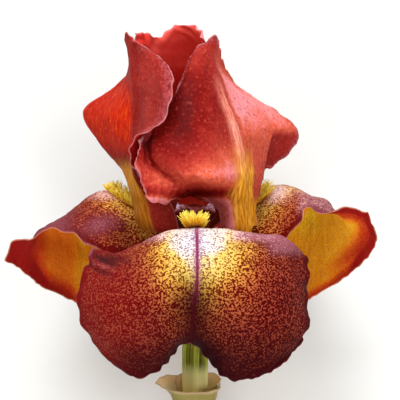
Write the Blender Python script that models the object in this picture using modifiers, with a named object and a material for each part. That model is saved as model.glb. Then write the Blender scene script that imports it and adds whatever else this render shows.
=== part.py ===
"""Bearded iris flower, cut with a short stem and laid down on its back.

The bloom is modelled upright in a viewing frame: x runs across, y runs away from the
viewer and z runs up, with the origin on the line of sight. An empty then lays it down,
so that it rests on the two rear falls and on the cut end of its stem.
"""

import math

import bmesh
import bpy
from mathutils import Matrix, Vector

MM = 0.001

# Viewing frame, in millimetres
VIEW_DISTANCE = 550.0
BASE_CENTRE = Vector((-1.7, 0.0, -14.3))
AXIS_LEAN = math.radians(12.0)

# How the flower lies
REST_TILT = math.radians(13.0)
REST_ROLL = math.radians(0.36)
REST_PLACE = Vector((3.34, 30.34, 55.381))

# Sheet thicknesses, in millimetres
PETAL_THICKNESS = 0.8
ARM_THICKNESS = 0.8
SPATHE_THICKNESS = 0.5

# Perianth tube, ovary and stem: heights along the flower's axis and radii, in millimetres
TUBE_TOP = -0.3
TUBE_FOOT = -28.0
TUBE_TOP_RADIUS = 5.8
TUBE_WAIST_RADIUS = 3.7
OVARY_TOP = -28.3
OVARY_FOOT = -56.0
OVARY_RADIUS = 4.6
STEM_TOP = -56.3
STEM_CUT = -114.0
STEM_RADIUS = 4.4
STEM_BEND = 1.5

# Spathes: two papery bracts around the ovary
SPATHE_FOOT = -80.0
SPATHE_TIP = -47.6
SPATHE_WRAP = math.radians(118.0)
SPATHE_EDGE_DROP = 1.0

# Style arms and stamens: (outward, height, half width, droop of the edges), in millimetres
STYLE_ARM_ROWS = [
    (1.5, 0.2, 0.9, 0.0),
    (3.6, 7.0, 2.6, 0.4),
    (8.5, 12.5, 4.6, 1.2),
    (14.5, 15.8, 6.2, 1.8),
    (18.6, 16.2, 6.6, 1.6),
    (20.4, 18.0, 5.6, 0.2),
]
STAMEN_POINTS = [
    (3.0, 0.3, 0.6),
    (4.9, 5.6, 0.6),
    (8.2, 9.2, 0.6),
    (9.6, 10.0, 1.0),
    (13.0, 11.7, 1.1),
    (16.0, 12.9, 0.8),
]
BEARD_ROW = [
    (15.5, 8.8, 1.2),
    (19.0, 11.0, 2.0),
    (24.5, 13.4, 2.3),
    (30.0, 15.6, 2.3),
    (33.0, 16.6, 1.6),
]

# How far each beard is shifted up to lie on its own fall, in millimetres
BEARD_LIFT = {"front": -1.3, "left": -1.1, "right": 0.3}

# How many points of the row each beard runs along: the right one ends early
BEARD_POINTS = {"front": 5, "left": 5, "right": 3}

# Turn of each third of the flower about its axis, front first
THIRDS = {
    "front": 0.0,
    "left": math.radians(-120.0),
    "right": math.radians(120.0),
}

# Cages of the petals. Each row runs across a petal, and the rows go from its foot to its
# tip. A point is (across, up, away): how far across and up it is seen, measured at the
# flower's axis, and how far away from the axis it lies, in millimetres.
FALL_FRONT = [
    [(-3.7, -14.1, -3.6), (-3.3, -14.5, -4.3), (-2.8, -14.8, -4.7), (-2.3, -14.9, -5.0),
     (-1.7, -15.0, -5.1), (-1.1, -14.9, -5.0), (-0.6, -14.8, -4.7), (-0.1, -14.5, -4.3),
     (0.3, -14.1, -3.6)],
    [(-6.7, -11.6, -10.4), (-5.6, -12.2, -11.2), (-4.4, -12.7, -11.8), (-3.1, -13.0, -12.2),
     (-1.7, -13.1, -12.3), (-0.3, -13.0, -12.2), (1.0, -12.7, -11.8), (2.2, -12.2, -11.2),
     (3.3, -11.6, -10.4)],
    [(-30.5, -18.8, -17.5), (-24.5, -18.0, -18.5), (-17.0, -15.8, -20.0), (-9.0, -12.4, -21.5),
     (-1.5, -11.2, -22.5), (6.5, -11.8, -21.8), (14.5, -12.9, -20.5), (22.5, -14.3, -18.5),
     (30.0, -16.3, -15.5)],
    [(-35.0, -16.0, -24.0), (-29.0, -18.0, -27.5), (-20.7, -15.2, -31.0), (-11.3, -11.2, -34.5),
     (-1.3, -10.3, -36.0), (8.7, -10.5, -35.0), (18.7, -11.8, -31.5), (28.0, -12.7, -27.0),
     (35.0, -18.7, -21.0)],
    [(-38.3, -22.0, -29.5), (-30.7, -22.3, -37.0), (-21.3, -21.0, -43.0), (-11.3, -20.0, -46.5),
     (-1.2, -19.7, -46.0), (9.0, -19.7, -46.5), (19.3, -20.0, -43.5), (29.0, -20.7, -36.0),
     (36.3, -24.0, -27.5)],
    [(-40.7, -30.0, -32.5), (-32.3, -30.3, -42.0), (-22.0, -29.7, -49.0), (-11.3, -29.3, -51.5),
     (-1.3, -28.7, -49.5), (9.3, -29.0, -51.5), (20.0, -29.0, -49.0), (30.0, -28.7, -41.0),
     (35.8, -29.0, -30.0)],
    [(-40.8, -36.0, -33.0), (-32.3, -38.3, -43.0), (-22.0, -38.3, -49.5), (-12.0, -37.7, -51.0),
     (-2.3, -36.0, -48.0), (9.3, -37.0, -51.0), (19.7, -37.7, -49.0), (29.3, -36.7, -42.0),
     (35.7, -34.0, -31.0)],
    [(-39.0, -41.7, -32.0), (-31.3, -46.0, -39.5), (-22.0, -47.7, -45.5), (-12.7, -46.7, -46.5),
     (-3.0, -43.0, -44.5), (9.3, -45.3, -47.5), (19.0, -47.0, -46.0), (28.0, -45.3, -40.5),
     (36.5, -40.0, -31.0)],
    [(-35.7, -47.3, -29.5), (-30.7, -53.7, -33.5), (-22.0, -58.8, -37.5), (-14.0, -57.0, -38.5),
     (-3.7, -47.6, -39.0), (8.7, -59.3, -40.0), (19.3, -59.0, -39.0), (27.7, -54.3, -35.5),
     (34.3, -46.3, -29.0)],
]
FALL_LEFT = [
    [(-6.4, -13.9, 0.0), (-6.5, -13.6, 0.9), (-6.4, -13.3, 1.8), (-6.1, -13.0, 2.6),
     (-5.6, -12.8, 3.2), (-5.0, -12.7, 3.7), (-4.3, -12.6, 4.1)],
    [(-16.5, -14.0, -1.0), (-15.6, -11.0, 1.4), (-14.3, -9.0, 3.7), (-13.0, -8.4, 5.4),
     (-11.9, -7.5, 7.1), (-10.7, -6.4, 9.0), (-9.4, -5.2, 10.6)],
    [(-25.8, -19.0, -8.5), (-25.0, -12.5, -4.0), (-23.0, -6.0, 2.0), (-20.7, -3.6, 9.0),
     (-16.0, -3.4, 16.0), (-10.5, -5.3, 22.5), (-5.8, -11.0, 26.0)],
    [(-36.2, -15.6, -12.0), (-35.3, -9.3, -6.0), (-33.8, -2.6, 3.0), (-31.0, 2.6, 14.0),
     (-25.5, 2.0, 25.0), (-17.5, -3.0, 36.0), (-10.2, -10.5, 45.0)],
    [(-43.0, -10.8, -11.5), (-44.0, -8.0, -5.0), (-43.8, -5.0, 6.0), (-41.0, -3.0, 21.0),
     (-33.5, -3.0, 34.0), (-24.0, -6.5, 46.0), (-15.0, -12.5, 53.0)],
    [(-52.0, -9.9, -9.5), (-52.8, -9.7, -1.5), (-50.0, -9.6, 11.0), (-42.0, -13.0, 27.0),
     (-35.0, -14.0, 38.0), (-26.5, -15.5, 47.0), (-18.0, -16.5, 53.0)],
    [(-56.4, -13.2, -8.2), (-56.0, -16.0, -0.5), (-50.8, -18.0, 11.5), (-41.0, -20.5, 27.0),
     (-34.0, -21.5, 37.0), (-26.5, -23.0, 44.5), (-19.5, -23.5, 49.0)],
    [(-62.8, -14.0, -6.3), (-59.6, -19.3, 0.8), (-52.0, -24.2, 12.0), (-41.3, -28.5, 26.0),
     (-35.0, -30.0, 34.5), (-28.0, -30.5, 40.5), (-21.5, -30.0, 43.5)],
    [(-64.9, -20.6, -3.5), (-60.6, -22.6, 2.0), (-53.0, -28.7, 12.0), (-42.3, -33.8, 24.5),
     (-36.5, -36.0, 32.0), (-30.0, -35.5, 37.0), (-23.5, -33.5, 39.5)],
]
FALL_RIGHT = [
    [(3.0, -13.9, 0.0), (3.1, -13.6, 0.9), (3.0, -13.3, 1.8), (2.7, -13.0, 2.6),
     (2.2, -12.8, 3.2), (1.6, -12.7, 3.7), (0.9, -12.6, 4.1)],
    [(12.0, -7.9, 1.2), (11.5, -8.4, 2.4), (10.7, -8.6, 3.9), (9.6, -8.4, 5.4),
     (8.7, -7.8, 6.8), (7.5, -6.6, 8.8), (6.2, -5.2, 10.6)],
    [(24.5, -15.0, -8.5), (22.5, -9.5, -4.0), (20.5, -4.5, 3.0), (17.8, -1.5, 10.0),
     (13.5, -1.8, 17.0), (8.2, -4.8, 22.5), (3.0, -11.0, 26.0)],
    [(32.3, -8.4, -12.0), (31.5, -4.0, -6.0), (30.0, 1.0, 3.0), (27.0, 4.6, 15.0),
     (21.5, 3.5, 26.0), (15.0, -2.8, 36.5), (8.0, -10.5, 45.0)],
    [(36.3, -2.7, -12.0), (37.3, -1.0, -5.0), (37.3, 1.0, 6.0), (35.0, 1.2, 19.0),
     (28.0, 0.2, 32.0), (20.5, -5.5, 45.5), (13.0, -12.0, 53.0)],
    [(42.0, -4.8, -11.0), (42.8, -2.8, -4.0), (42.8, -1.6, 7.0), (38.0, -7.0, 26.0),
     (31.0, -9.5, 37.0), (24.0, -13.5, 47.0), (16.8, -15.5, 53.5)],
    [(48.8, -2.3, -9.0), (50.5, -8.0, -1.0), (47.0, -15.0, 11.0), (37.5, -21.5, 26.5),
     (30.0, -23.0, 36.0), (24.0, -25.0, 42.0), (18.5, -26.0, 46.0)],
    [(56.0, -4.0, -6.0), (58.8, -14.5, 0.0), (50.0, -24.7, 11.0), (36.7, -32.7, 25.0),
     (31.5, -36.0, 32.0), (26.5, -35.5, 37.0), (21.5, -33.0, 39.5)],
]
STANDARD_LEFT = [
    [(-6.2, -13.7, -0.5), (-5.9, -13.9, -1.0), (-5.6, -14.1, -1.6), (-5.3, -14.3, -2.1),
     (-5.0, -14.4, -2.6), (-4.7, -14.6, -3.1), (-4.4, -14.7, -3.6)],
    [(-11.4, -7.7, -3.2), (-11.1, -8.0, -4.2), (-10.6, -8.3, -5.2), (-9.9, -8.5, -6.1),
     (-9.4, -8.7, -7.1), (-8.5, -8.8, -8.4), (-7.4, -8.9, -9.6)],
    [(-20.0, -9.3, -6.0), (-19.2, -9.6, -8.5), (-18.0, -9.8, -11.0), (-16.5, -9.9, -13.0),
     (-14.0, -10.0, -14.5), (-10.5, -9.9, -15.2), (-7.0, -9.5, -15.2)],
    [(-22.6, 0.0, -4.5), (-22.0, 0.0, -7.5), (-21.0, 0.0, -10.5), (-19.5, 0.0, -13.0),
     (-17.0, 0.0, -14.6), (-14.0, 0.0, -15.2), (-10.5, 0.0, -14.5)],
    [(-26.0, 10.0, 2.0), (-24.9, 9.4, -2.5), (-23.5, 9.0, -7.5), (-22.3, 9.3, -12.0),
     (-22.2, 9.8, -14.5), (-22.2, 10.4, -17.0), (-22.2, 11.0, -19.0)],
    [(-33.5, 18.8, 9.0), (-30.0, 18.6, 3.0), (-26.0, 18.4, -5.0), (-22.0, 18.4, -12.0),
     (-21.7, 19.0, -15.5), (-22.0, 19.7, -19.4), (-22.0, 20.3, -22.6)],
    [(-39.0, 29.5, 14.0), (-34.0, 28.5, 7.0), (-28.3, 28.2, -3.0), (-21.5, 29.3, -12.0),
     (-18.0, 27.8, -20.0), (-15.0, 26.5, -26.0), (-12.7, 25.8, -30.0)],
    [(-29.0, 37.2, 9.0), (-26.8, 37.5, 4.5), (-24.5, 38.0, -3.0), (-22.0, 38.3, -11.0),
     (-16.7, 38.3, -20.0), (-12.6, 38.0, -26.5), (-9.0, 37.7, -30.0)],
    [(-22.1, 44.8, 2.0), (-22.9, 45.7, -1.0), (-23.6, 46.6, -5.0), (-22.9, 47.3, -9.0),
     (-19.0, 47.3, -15.5), (-15.0, 46.7, -20.5), (-10.5, 44.5, -24.0)],
    [(-24.6, 52.2, -2.5), (-25.0, 53.6, -4.0), (-25.0, 55.0, -6.0), (-24.3, 56.0, -8.0),
     (-22.3, 53.5, -11.5), (-19.7, 51.8, -14.5), (-16.0, 49.5, -18.0)],
]
STANDARD_RIGHT = [
    [(1.0, -14.7, -3.6), (1.2, -14.6, -3.3), (1.4, -14.5, -2.9), (1.6, -14.4, -2.5),
     (1.9, -14.3, -2.1), (2.1, -14.2, -1.7), (2.4, -14.0, -1.3), (2.6, -13.9, -0.9),
     (2.8, -13.7, -0.5)],
    [(4.9, -9.0, -9.0), (5.3, -8.9, -8.4), (5.7, -8.8, -7.7), (6.1, -8.7, -6.9),
     (6.5, -8.5, -6.1), (7.0, -8.4, -5.4), (7.4, -8.2, -4.7), (7.7, -8.0, -3.9),
     (8.0, -7.7, -3.2)],
    [(7.3, -10.0, -10.0), (8.2, -10.1, -11.8), (9.3, -10.2, -13.2), (11.0, -10.3, -13.8),
     (13.5, -10.3, -12.8), (15.3, -10.3, -11.0), (16.8, -10.2, -9.0), (18.0, -10.0, -7.0),
     (19.0, -9.8, -5.0)],
    [(5.0, -2.0, -8.0), (6.0, -1.9, -11.5), (7.5, -1.8, -14.8), (10.0, -1.7, -17.0),
     (13.5, -1.7, -15.5), (15.8, -1.7, -12.5), (17.5, -1.7, -9.5), (18.8, -1.7, -6.8),
     (19.7, -1.7, -4.0)],
    [(-4.0, 1.5, -12.0), (-2.0, 2.2, -15.0), (2.0, 2.8, -19.0), (8.0, 3.4, -22.0),
     (13.6, 3.4, -17.5), (16.2, 3.4, -13.0), (18.0, 3.4, -9.5), (19.5, 3.6, -5.7),
     (20.7, 3.8, -2.0)],
    [(-15.7, -1.0, -25.5), (-8.2, 3.8, -25.5), (-3.0, 7.2, -30.5), (6.0, 6.7, -29.5),
     (14.0, 8.0, -17.5), (17.0, 8.2, -12.0), (19.0, 8.5, -8.0), (20.5, 8.9, -4.0),
     (21.5, 9.3, 0.0)],
    [(-19.3, 5.0, -26.0), (-12.7, 8.0, -25.0), (-6.0, 9.5, -31.0), (4.0, 10.0, -30.5),
     (13.7, 11.0, -17.0), (17.2, 11.0, -10.5), (20.0, 10.8, -5.0), (22.3, 10.5, 0.0),
     (24.0, 10.2, 4.0)],
    [(-21.4, 11.6, -25.5), (-16.8, 11.0, -24.0), (-9.0, 13.5, -30.0), (2.0, 15.0, -29.5),
     (13.0, 16.5, -16.0), (17.2, 16.3, -9.0), (20.9, 15.6, -2.5), (24.3, 14.5, 4.0),
     (28.2, 13.2, 9.0)],
    [(-21.1, 16.7, -23.9), (-18.0, 15.5, -22.8), (-10.5, 18.0, -28.0), (1.5, 20.0, -27.5),
     (12.0, 21.0, -15.8), (17.5, 20.8, -8.5), (22.5, 20.2, -0.5), (27.0, 19.2, 6.5),
     (32.2, 17.6, 12.0)],
    [(-19.3, 20.3, -21.2), (-17.5, 21.0, -22.0), (-9.3, 23.3, -26.5), (0.7, 25.3, -25.5),
     (10.7, 26.0, -15.5), (16.2, 25.6, -8.5), (22.0, 24.8, -1.0), (28.0, 23.6, 7.0),
     (33.4, 21.8, 14.0)],
    [(-11.0, 30.0, -20.5), (-9.3, 32.0, -21.3), (-5.0, 34.3, -22.2), (1.0, 35.4, -21.0),
     (7.3, 36.0, -15.0), (11.5, 34.8, -9.5), (16.0, 33.0, -3.0), (21.0, 30.8, 4.5),
     (28.0, 27.8, 12.0)],
    [(-6.0, 40.0, -18.0), (-4.8, 42.0, -18.4), (-2.5, 44.2, -18.4), (1.0, 45.4, -17.3),
     (4.3, 45.4, -13.0), (5.8, 44.4, -9.5), (7.4, 42.6, -5.5), (9.8, 40.0, 0.0),
     (14.0, 36.4, 7.0)],
    [(-3.3, 46.7, -14.0), (-2.0, 49.3, -14.1), (0.0, 51.8, -13.5), (2.8, 53.4, -12.0),
     (5.0, 55.0, -10.0), (5.8, 53.0, -7.8), (6.5, 50.0, -5.2), (7.5, 45.8, -2.0),
     (9.5, 41.0, 3.0)],
]
STANDARD_BACK = [
    [(-3.5, -13.2, 3.6), (-2.9, -13.1, 3.8), (-2.3, -13.0, 3.9), (-1.7, -13.0, 4.0),
     (-1.1, -13.0, 3.9), (-0.5, -13.1, 3.8), (0.1, -13.2, 3.6)],
    [(-8.4, -4.5, 6.6), (-6.3, -5.1, 7.5), (-4.0, -5.5, 8.0), (-1.7, -5.7, 8.2),
     (0.6, -5.5, 7.9), (3.2, -5.0, 7.0), (6.0, -4.0, 5.7)],
    [(-8.6, -1.6, 13.2), (-6.4, -2.3, 14.3), (-4.0, -2.8, 15.0), (-1.7, -3.0, 15.2),
     (0.6, -2.8, 15.0), (3.0, -2.3, 14.3), (5.2, -1.6, 13.2)],
    [(-10.8, 5.0, 14.5), (-8.0, 4.8, 16.4), (-5.0, 4.6, 17.8), (-1.7, 4.5, 18.5),
     (1.6, 4.6, 17.8), (4.6, 4.8, 16.4), (7.4, 5.0, 14.5)],
    [(-23.0, 13.4, 6.5), (-17.5, 13.3, 13.5), (-10.0, 13.4, 18.0), (-1.7, 13.4, 20.0),
     (6.0, 13.4, 18.0), (12.0, 13.2, 14.0), (16.5, 13.0, 8.5)],
    [(-24.0, 24.0, 4.0), (-18.5, 24.0, 13.0), (-10.8, 24.0, 19.0), (-1.7, 24.0, 21.0),
     (7.0, 24.0, 19.0), (13.5, 24.0, 13.5), (17.0, 24.0, 7.0)],
    [(-21.0, 36.0, 2.0), (-17.5, 36.7, 11.0), (-10.5, 37.0, 18.0), (-2.5, 37.0, 20.0),
     (4.5, 36.8, 17.5), (8.0, 36.5, 12.5), (8.8, 36.0, 7.5)],
    [(-19.8, 46.0, -1.0), (-15.5, 47.0, 6.0), (-9.5, 48.0, 12.0), (-3.5, 48.5, 14.0),
     (0.8, 48.0, 12.0), (2.8, 47.3, 8.0), (2.9, 46.5, 3.0)],
    [(-21.5, 55.8, -2.5), (-17.3, 55.5, 1.5), (-13.3, 54.0, 4.0), (-9.0, 57.5, 5.0),
     (-3.5, 58.5, 5.0), (-0.5, 57.0, 3.0), (0.8, 54.0, 0.5)],
]

# Base colour, roughness and metallic value of each material
MATERIALS = {
    "fall_maroon": ((0.20, 0.012, 0.010), 0.55, 0.0),
    "standard_red": ((0.42, 0.055, 0.040), 0.50, 0.0),
    "beard_yellow": ((0.85, 0.52, 0.02), 0.80, 0.0),
    "style_maroon": ((0.22, 0.030, 0.045), 0.55, 0.0),
    "pollen_cream": ((0.72, 0.62, 0.36), 0.80, 0.0),
    "tube_green": ((0.20, 0.26, 0.05), 0.50, 0.0),
    "spathe_tan": ((0.52, 0.42, 0.24), 0.70, 0.0),
    "stem_green": ((0.24, 0.34, 0.12), 0.50, 0.0),
}


def clear_scene():
    for item in list(bpy.data.objects):
        bpy.data.objects.remove(item, do_unlink=True)


def collection(name):
    group = bpy.data.collections.new(name)
    bpy.context.scene.collection.children.link(group)
    return group


def material(name, owner):
    colour, roughness, metallic = MATERIALS[name]
    made = bpy.data.materials.new(f"{owner}_{name}")
    made.use_nodes = True
    shader = made.node_tree.nodes["Principled BSDF"]
    shader.inputs["Base Color"].default_value = (*colour, 1.0)
    shader.inputs["Roughness"].default_value = roughness
    shader.inputs["Metallic"].default_value = metallic
    return made


def add_part(name, data, look, parent):
    part = bpy.data.objects.new(name, data)
    part.data.materials.append(material(look, name))
    part.parent = parent
    PARTS.objects.link(part)
    return part


def empty(name, parent, matrix):
    made = bpy.data.objects.new(name, None)
    made.parent = parent
    made.matrix_local = matrix
    PARTS.objects.link(made)
    return made


def seen(point):
    """The real place of a cage point, moved along its line of sight to its depth."""
    across, up, away = point
    spread = 1.0 + away / VIEW_DISTANCE
    return Vector((across * spread, away, up * spread)) * MM


def sheet(name, rows, thickness, look, parent, levels=1):
    """A thin soft sheet: a grid moved to its cage, smoothed and given a thickness."""
    across = len(rows[0])
    cage = bmesh.new()
    bmesh.ops.create_grid(cage, x_segments=across - 1, y_segments=len(rows) - 1, size=1.0)
    cage.verts.ensure_lookup_table()
    for index, vertex in enumerate(cage.verts):
        vertex.co = rows[index // across][index % across]
    mesh = bpy.data.meshes.new(name)
    cage.to_mesh(mesh)
    cage.free()
    part = add_part(name, mesh, look, parent)
    smooth = part.modifiers.new("Soft form", "SUBSURF")
    smooth.levels = levels
    smooth.render_levels = levels
    solid = part.modifiers.new("Thickness", "SOLIDIFY")
    solid.thickness = thickness * MM
    solid.offset = 0.0
    return part


def petal(name, cage, look):
    rows = [[seen(point) for point in row] for row in cage]
    return sheet(name, rows, PETAL_THICKNESS, look, POSE)


def tube(name, points, look, parent, resolution=2):
    """A round limb along (x, y, z, radius) points in millimetres, with filled ends."""
    curve = bpy.data.curves.new(name, "CURVE")
    curve.dimensions = "3D"
    curve.bevel_depth = 1.0 * MM
    curve.bevel_resolution = resolution
    curve.use_fill_caps = True
    spline = curve.splines.new("POLY")
    spline.points.add(len(points) - 1)
    for target, (x, y, z, radius) in zip(spline.points, points):
        target.co = (x * MM, y * MM, z * MM, 1.0)
        target.radius = radius
    return add_part(name, curve, look, parent)


def turned(name, profile, look, parent, steps=24):
    """A solid of revolution about the flower's axis, from (radius, height) points."""
    outline = bpy.data.meshes.new(name)
    points = [(radius * MM, 0.0, height * MM) for radius, height in profile]
    edges = [(index, index + 1) for index in range(len(points) - 1)]
    outline.from_pydata(points, edges, [])
    part = add_part(name, outline, look, parent)
    spin = part.modifiers.new("Turned", "SCREW")
    spin.steps = steps
    spin.render_steps = steps
    spin.use_merge_vertices = True
    spin.merge_threshold = 0.00001
    return part


def falls():
    petal("fall_front", FALL_FRONT, "fall_maroon")
    petal("fall_left", FALL_LEFT, "fall_maroon")
    petal("fall_right", FALL_RIGHT, "fall_maroon")


def standards():
    petal("standard_left", STANDARD_LEFT, "standard_red")
    petal("standard_right", STANDARD_RIGHT, "standard_red")
    petal("standard_back", STANDARD_BACK, "standard_red")


def heart_of_the_flower():
    """The beard, the stamen and the style arm of each third."""
    for side, turn in THIRDS.items():
        third = empty(f"third_{side}", AXIS, Matrix.Rotation(turn, 4, "Z"))
        lift = BEARD_LIFT[side]
        row = BEARD_ROW[:BEARD_POINTS[side]]
        beard = [(0.0, -outward, height + lift, radius) for outward, height, radius in row]
        tube(f"beard_{side}", beard, "beard_yellow", third, 3)
        stamen = [(0.0, -outward, height, radius) for outward, height, radius in STAMEN_POINTS]
        tube(f"stamen_{side}", stamen, "pollen_cream", third)
        style_arm(f"style_arm_{side}", third)


def style_arm(name, third):
    rows = []
    for outward, height, half_width, droop in STYLE_ARM_ROWS:
        row = []
        for share in (-1.0, -0.5, 0.0, 0.5, 1.0):
            lowered = height - droop * share * share
            row.append(Vector((share * half_width, -outward, lowered)) * MM)
        rows.append(row)
    sheet(name, rows, ARM_THICKNESS, "style_maroon", third)


def tube_and_ovary():
    neck = [
        (0.0, TUBE_TOP),
        (TUBE_TOP_RADIUS, TUBE_TOP),
        (TUBE_TOP_RADIUS - 0.8, TUBE_TOP - 5.0),
        (TUBE_WAIST_RADIUS, TUBE_TOP - 14.0),
        (TUBE_WAIST_RADIUS, TUBE_FOOT),
        (0.0, TUBE_FOOT),
    ]
    turned("perianth_tube", neck, "tube_green", AXIS)
    body = [
        (0.0, OVARY_TOP),
        (TUBE_WAIST_RADIUS, OVARY_TOP),
        (OVARY_RADIUS, OVARY_TOP - 8.0),
        (OVARY_RADIUS, OVARY_FOOT + 8.0),
        (STEM_RADIUS - 0.4, OVARY_FOOT),
        (0.0, OVARY_FOOT),
    ]
    turned("ovary", body, "tube_green", AXIS)


def stem():
    length = STEM_TOP - STEM_CUT
    points = []
    for share in (0.0, 0.2, 0.4, 0.6, 0.8, 1.0):
        bend = STEM_BEND * share * share
        points.append((bend, 0.0, STEM_TOP - length * share, STEM_RADIUS))
    tube("stem", points, "stem_green", AXIS, 4)


def spathe(name, facing, foot_radius, tip_radius):
    """A papery bract wrapped round the stem, highest in the middle of its back."""
    rows = []
    for rise in (0.0, 0.3, 0.6, 0.8, 0.92, 1.0):
        row = []
        for share in (-1.0, -0.67, -0.33, 0.0, 0.33, 0.67, 1.0):
            angle = facing + SPATHE_WRAP * share
            top = SPATHE_TIP - SPATHE_EDGE_DROP * share * share
            height = SPATHE_FOOT + (top - SPATHE_FOOT) * rise
            spread = (tip_radius - foot_radius) * rise ** 9 * (1.0 - 0.6 * share * share)
            radius = foot_radius + spread
            row.append(Vector((radius * math.cos(angle), radius * math.sin(angle), height)) * MM)
        rows.append(row)
    sheet(name, rows, SPATHE_THICKNESS, "spathe_tan", AXIS)


def spathes():
    spathe("spathe_outer", math.radians(235.0), 6.9, 14.2)
    spathe("spathe_inner", math.radians(55.0), 5.7, 9.4)


clear_scene()
PARTS = collection("iris_flower")
REST = Matrix.Rotation(REST_ROLL, 4, "Y") @ Matrix.Rotation(REST_TILT - math.pi / 2, 4, "X")
POSE = empty("pose", None, Matrix.Translation(REST_PLACE * MM) @ REST)
AXIS = empty("axis", POSE, Matrix.Translation(BASE_CENTRE * MM) @ Matrix.Rotation(AXIS_LEAN, 4, "X"))
falls()
standards()
heart_of_the_flower()
tube_and_ovary()
stem()
spathes()
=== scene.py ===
"""Looks of the bearded iris flower, cut with a short stem and lying on its back.

Every piece is shaped in the viewing frame of part.py (x across, y away from the viewer,
z up, in millimetres) or in the flower's own axis frame, and is then laid down with it.
"""

import math

import bpy
import numpy as np
from mathutils import Matrix, Vector


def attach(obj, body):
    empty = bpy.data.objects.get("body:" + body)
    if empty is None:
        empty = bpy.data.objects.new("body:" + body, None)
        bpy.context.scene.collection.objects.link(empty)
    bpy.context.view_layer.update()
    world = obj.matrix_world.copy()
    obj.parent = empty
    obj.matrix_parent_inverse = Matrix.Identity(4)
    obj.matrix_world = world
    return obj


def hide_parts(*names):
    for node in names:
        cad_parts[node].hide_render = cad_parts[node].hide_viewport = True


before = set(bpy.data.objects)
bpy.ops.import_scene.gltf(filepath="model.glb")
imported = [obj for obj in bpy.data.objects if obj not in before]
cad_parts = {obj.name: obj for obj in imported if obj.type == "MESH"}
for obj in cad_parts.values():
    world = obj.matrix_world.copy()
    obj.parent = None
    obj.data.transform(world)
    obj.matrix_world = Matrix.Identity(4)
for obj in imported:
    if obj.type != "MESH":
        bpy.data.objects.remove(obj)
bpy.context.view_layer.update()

MM = 0.001

# The viewing frame and the way the flower lies, as in part.py, in millimetres
VIEW_DISTANCE = 550.0
BASE_CENTRE = Vector((-1.7, 0.0, -14.3))
AXIS_LEAN = math.radians(12.0)
REST_TILT = math.radians(13.0)
REST_ROLL = math.radians(0.36)
REST_PLACE = Vector((3.34, 30.34, 55.381))

REST = Matrix.Rotation(REST_ROLL, 4, "Y") @ Matrix.Rotation(REST_TILT - math.pi / 2, 4, "X")
POSE = Matrix.Translation(REST_PLACE) @ REST
AXIS = POSE @ Matrix.Translation(BASE_CENTRE) @ Matrix.Rotation(AXIS_LEAN, 4, "X")

# Half of the field of view at the flower's axis, the camera's sensor and the floor's half width
HALF_VIEW = 66.67
SENSOR = 36.0
FLOOR_REACH = 4000.0
FLOOR_STEPS = 16

# Grid lines of the sheets from foot to tip and from side to side
PETAL_GRID = (150, 150)
STYLE_ARM_GRID = (70, 60)
SPATHE_GRID = (90, 120)

# How high a fall lies above the floor, how gently it is lifted, and from what height on
PETAL_CLEARANCE = 0.4
SETTLE_BLEND = 0.5
SETTLE_REACH = 4.0

# The free edge of a sheet's bake picture and the height of its rim's strip, as shares of it
BAKE_EDGE = 0.005
BAKE_RIM = 0.97

# Thickness of a petal at its rim and inside it, and what its midrib adds
FALL_THICKNESS = (0.3, 0.7, 0.5)
STANDARD_THICKNESS = (0.28, 0.6, 0.7)

# Perianth tube, ovary and stem along the flower's axis, as in part.py, in millimetres
TUBE_TOP = -0.3
TUBE_FOOT = -28.0
TUBE_TOP_RADIUS = 5.8
TUBE_WAIST_RADIUS = 3.7
OVARY_TOP = -28.3
OVARY_OVERLAP = 0.5
OVARY_FOOT = -56.0
OVARY_RADIUS = 4.6
STEM_TOP = -56.3
STEM_CUT = -114.0
STEM_RADIUS = 4.4
STEM_BEND = 1.5
STALK_SIDES = 72
STALK_RIB = 0.06

# The bracts: where they lie along the axis, how far they wrap round, and how much of the
# lip's flare is gone at their left and right edges
SPATHE_FOOT = -80.0
SPATHE_TIP = -47.6
SPATHE_WRAP = math.radians(118.0)
SPATHE_EDGE_DROP = 1.0
SPATHE_LEFT_CURL = 0.6
SPATHE_RIGHT_CURL = 0.78

# Each bract's facing in degrees, its radii at the clasp, the foot and the lip, and its seed
SPATHES = {
    "spathe_outer": (235.0, 5.3, 6.9, 14.2, 61),
    "spathe_inner": (55.0, 4.8, 5.7, 9.4, 71),
}

# Along a third of the flower: (outward, height, half width, droop) or (outward, height, radius)
STYLE_ARM_ROWS = [
    (1.5, 0.2, 0.9, 0.0),
    (3.6, 7.0, 2.6, 0.4),
    (8.5, 12.5, 4.6, 1.2),
    (14.5, 15.8, 6.2, 1.8),
    (18.6, 16.2, 6.6, 1.6),
    (20.4, 18.0, 5.6, 0.2),
]
STAMEN_POINTS = [
    (3.0, 0.3, 0.6),
    (4.9, 5.6, 0.6),
    (8.2, 9.2, 0.6),
    (9.6, 10.0, 1.0),
    (13.0, 11.7, 1.1),
    (16.0, 12.9, 0.8),
]
BEARD_ROW = [
    (15.5, 8.8, 1.2),
    (19.0, 11.0, 2.0),
    (24.5, 13.4, 2.3),
    (30.0, 15.6, 2.3),
    (33.0, 16.6, 1.6),
]
STAMEN_RINGS = 60
STAMEN_SIDES = 20
HAIRS = 620
HAIR_RINGS = 4
HAIR_SIDES = 4

# The thirds' turns about the axis in degrees, and each beard's lift, hair length and reach
THIRDS = {
    "front": (0.0, -1.3, 1.0, 1.0),
    "left": (-120.0, -1.1, 0.9, 1.0),
    "right": (120.0, 0.3, 1.2, 0.6),
}

# The fold of the front fall's ear, from its corner into the blade, as (across, up)
EAR_START = (-36.8, -18.6)
EAR_END = (-29.7, -24.3)

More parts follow.
